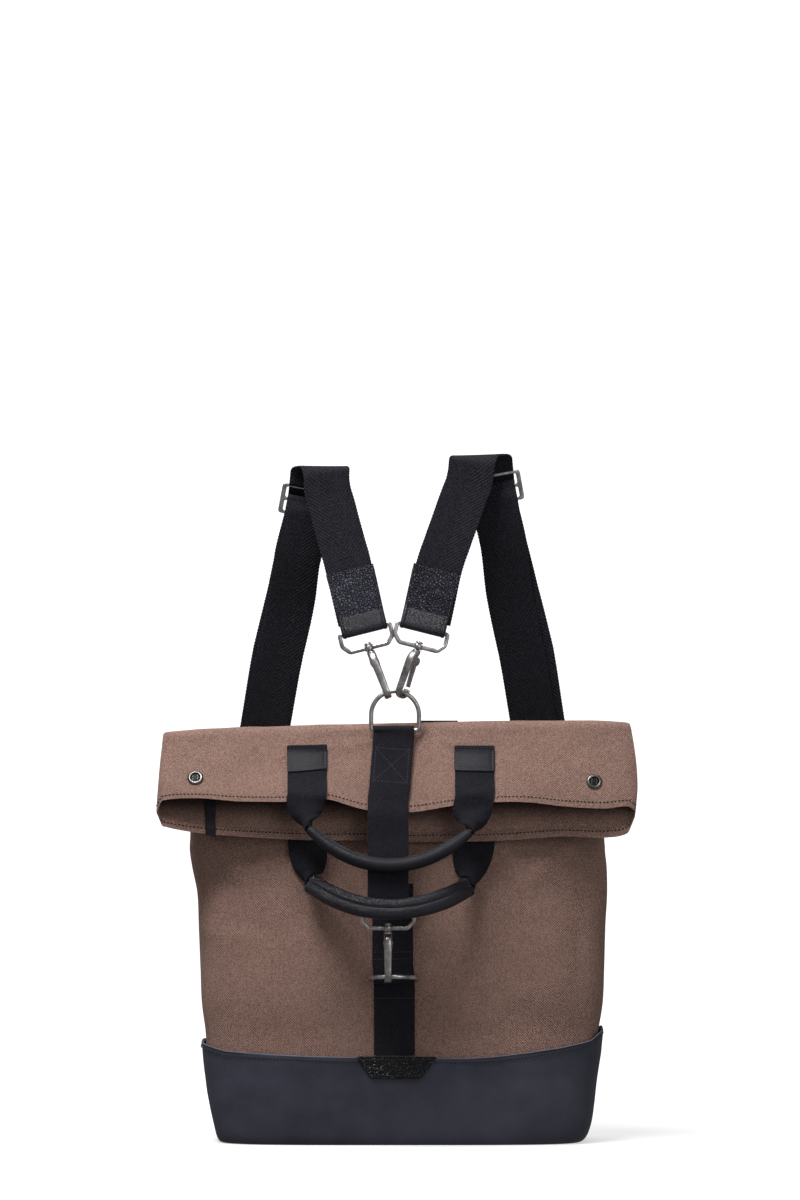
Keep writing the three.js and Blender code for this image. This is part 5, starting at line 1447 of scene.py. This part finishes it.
def strap_ring(key, centre, lean, swing):
    """A long bent-wire ring at a lower corner, leaning and swung like the strap that it holds."""
    lean, swing = math.radians(lean), math.radians(swing)
    across = np.array([math.cos(lean) * math.cos(swing), math.sin(swing), math.sin(lean)])
    across /= np.linalg.norm(across)
    up = np.array([0, 0, 1]) - across * across[2]
    up /= np.linalg.norm(up)
    loop = rounded_path([np.asarray(centre) + across * a + up * h for a, h in STRAP_RING_CORNERS], 2.6, 7)
    rings = bar_rings(loop, np.cross(across, up), (WIRE_THICK, WIRE_THICK), 14, 2.0, True)
    metal_piece(f"lower_strap_ring_{key}", [loft(rings, closed=True)], "bag", f"strap_ring_{key}")


STRAPS = {
    "left": dict(side=-1, slider=(-73.992, 7, 555), lean=-10.6, ring=(-137.997, 57, 106),
                 sway=-12, parted=-1.5),
    "right": dict(side=1, slider=(81.499, 7, 566.5), lean=10.2, ring=(143.007, 57, 108),
                  sway=11, parted=3.5),
}
for key, s in STRAPS.items():
    ribbed_webbing(f"shoulder_webbing_{key}", f"shoulder_strap_{key}", STRAP_WEBBING, s["sway"], s["parted"])
    leather_end(f"strap_end_{key}", f"strap_leather_{key}", key)
    slider_plate(key, np.asarray(s["slider"]) - (0, 0, SLIDER_DROP), s["lean"], f"slider_{key}")
    strap_ring(key, s["ring"], s["lean"], -s["side"] * RING_SWING)
    tab = smooth_path(strip_rows(f"strap_tab_{key}"), 1.4)
    strip_piece(f"lower_strap_tab_{key}", f"strap_tab_{key}", tab, GRAIN_LEATHER, "grain_leather", 15)


# Small fittings. Pressed snap sockets near both ends of the flap, each with a dark disc in its hollow as
# painted shade, a leather pull that hangs from the mouth, and the small back patch behind the fold.
SOCKET_PAINTED_SHADE = principled("socket_hollow_painted_shade", Base_Color=rgb(14, 13, 13), Roughness=0.5, Metallic=0.6)[0]
SOCKET_RIM = [(3.9, 0.05), (6.5, 0.05), (6.7, 0.2), (6.75, 0.6), (6.5, 1.0), (6.1, 1.3), (5.7, 1.6),
              (5.2, 1.72), (4.6, 1.7), (4.15, 1.5), (3.95, 1.1)]
SOCKET_DISC = [(0.05, 0.1), (3.8, 0.1), (3.85, 0.3), (3.4, 0.42), (0.05, 0.42)]
flap_front = front_of(panels["back"])
SOCKET_NICKEL = metal_material("socket_nickel", rgb(70, 67, 66), rgb(136, 132, 130))
for key, x, z in (("left", -170.741, 313.6), ("right", 167.429, 310.6)):
    place, facing = flap_front(x, z)
    place = place + facing * 0.25
    facing = facing / np.linalg.norm(facing)
    socket = ring_lathe(SOCKET_RIM, place, facing, 48)
    metal_piece(f"snap_socket_{key}", [socket], "bag", f"snap_ring_{key}", SOCKET_NICKEL)
    # A dark disc in the socket's hollow: painted shade.
    metal_piece(f"snap_hollow_painted_shade_{key}", [lathe(SOCKET_DISC, place, facing, 32)], "bag", material=SOCKET_PAINTED_SHADE)
    side = np.cross(facing, (0, 0, 1))
    side /= np.linalg.norm(side)
    other = np.cross(facing, side)
    spring = []
    for f in (-1, 1):
        wire = [place + facing * 0.85 + side * f * 2.2 * (1 - 0.2 * (h / 3) ** 2) + other * h
                for h in np.linspace(-2.9, 2.9, 12)]
        spring.append(loft(bar_rings(wire, facing, (0.55, 0.55), 8, 2.0)))
    metal_piece(f"snap_spring_{key}", spring, "bag", material=SOCKET_NICKEL)
pull = from_top(smooth_path(strip_rows("zip_pull"), 0.9))
points, faces, uv = strip_mesh(pull, 11)
pull_length = strip_frame(pull)[3]
lean = np.clip((uv[:, 1] - (pull_length[-1] - 5)) / 5, 0, 1)
points = points + np.array([0, 0, 1]) * (lean * (uv[:, 0] + 4.2) * 0.32)[:, None]
zip_strip = make_mesh("zip_pull_strip", points, oriented(points, faces), SMOOTH_LEATHER, uv)
on_bag(zip_strip, "grain_leather", "zip_pull")
back_of = front_of(panels["back"], away=300.0)
patch_rows = []
for z, proud in ((328.2, 0), (334, 0), (341, 0), (347, 0), (353, 1.2), (360.4, 3.4)):
    place, _ = back_of(34.5, min(z, 347))
    patch_rows.append([34.5, place[1] + 1.2 - proud, z, 1, 0, 0, 35, 1.6])
patch_rows = smooth_path(patch_rows, 1.6)
strip_piece("back_patch_strip", "back_patch", patch_rows, SMOOTH_LEATHER, "grain_leather", 11)


# Floor and light. A pale sweep that rises behind the bag, with large soft lamps, as in a product
# studio.
floor_mesh = bpy.data.meshes.new("floor")
profile = [(-4.0, 0.0), (1.6, 0.0), (2.2, 0.06), (2.7, 0.3), (3.0, 0.8), (3.1, 1.6), (3.1, 4.5)]
floor_mesh.from_pydata([(x, y, z) for y, z in profile for x in (-5.0, 5.0)], [],
                       [(2 * i, 2 * i + 1, 2 * i + 3, 2 * i + 2) for i in range(len(profile) - 1)])
floor = bpy.data.objects.new("floor", floor_mesh)
bpy.context.collection.objects.link(floor)
floor.visible_glossy = False
floor.visible_diffuse = False
FLOOR_WHITE = principled("floor_white", Base_Color=(0.6, 0.6, 0.6, 1), Roughness=0.7,
                         Emission_Color=(1, 1, 1, 1), Emission_Strength=0.55)[0]
floor_mesh.materials.append(FLOOR_WHITE)


def lamp(name, place, aim, size, power):
    """A square soft lamp that looks at a place."""
    data = bpy.data.lights.new(name, "AREA")
    data.shape = "SQUARE"
    data.size = size
    data.energy = power
    made = bpy.data.objects.new(name, data)
    made.location = place
    made.rotation_euler = (Vector(aim) - Vector(place)).to_track_quat("-Z", "Y").to_euler()
    bpy.context.collection.objects.link(made)


lamp("key", place=(-0.62, -0.95, 2.66), aim=(0, -0.05, 0.25), size=1.1, power=72)
lamp("front", place=(1.6, -2.6, 1.1), aim=(0, 0, 0.25), size=1.6, power=14)
lamp("backdrop", place=(0, 1.5, 2.9), aim=(0, 3.1, 0.7), size=2.2, power=60)
world = bpy.data.worlds.new("studio")
world.use_nodes = True
world.node_tree.nodes["Background"].inputs["Color"].default_value = (1, 1, 1, 1)
world.node_tree.nodes["Background"].inputs["Strength"].default_value = 0.2
bpy.context.scene.world = world
bpy.context.scene.view_settings.view_transform = "Standard"
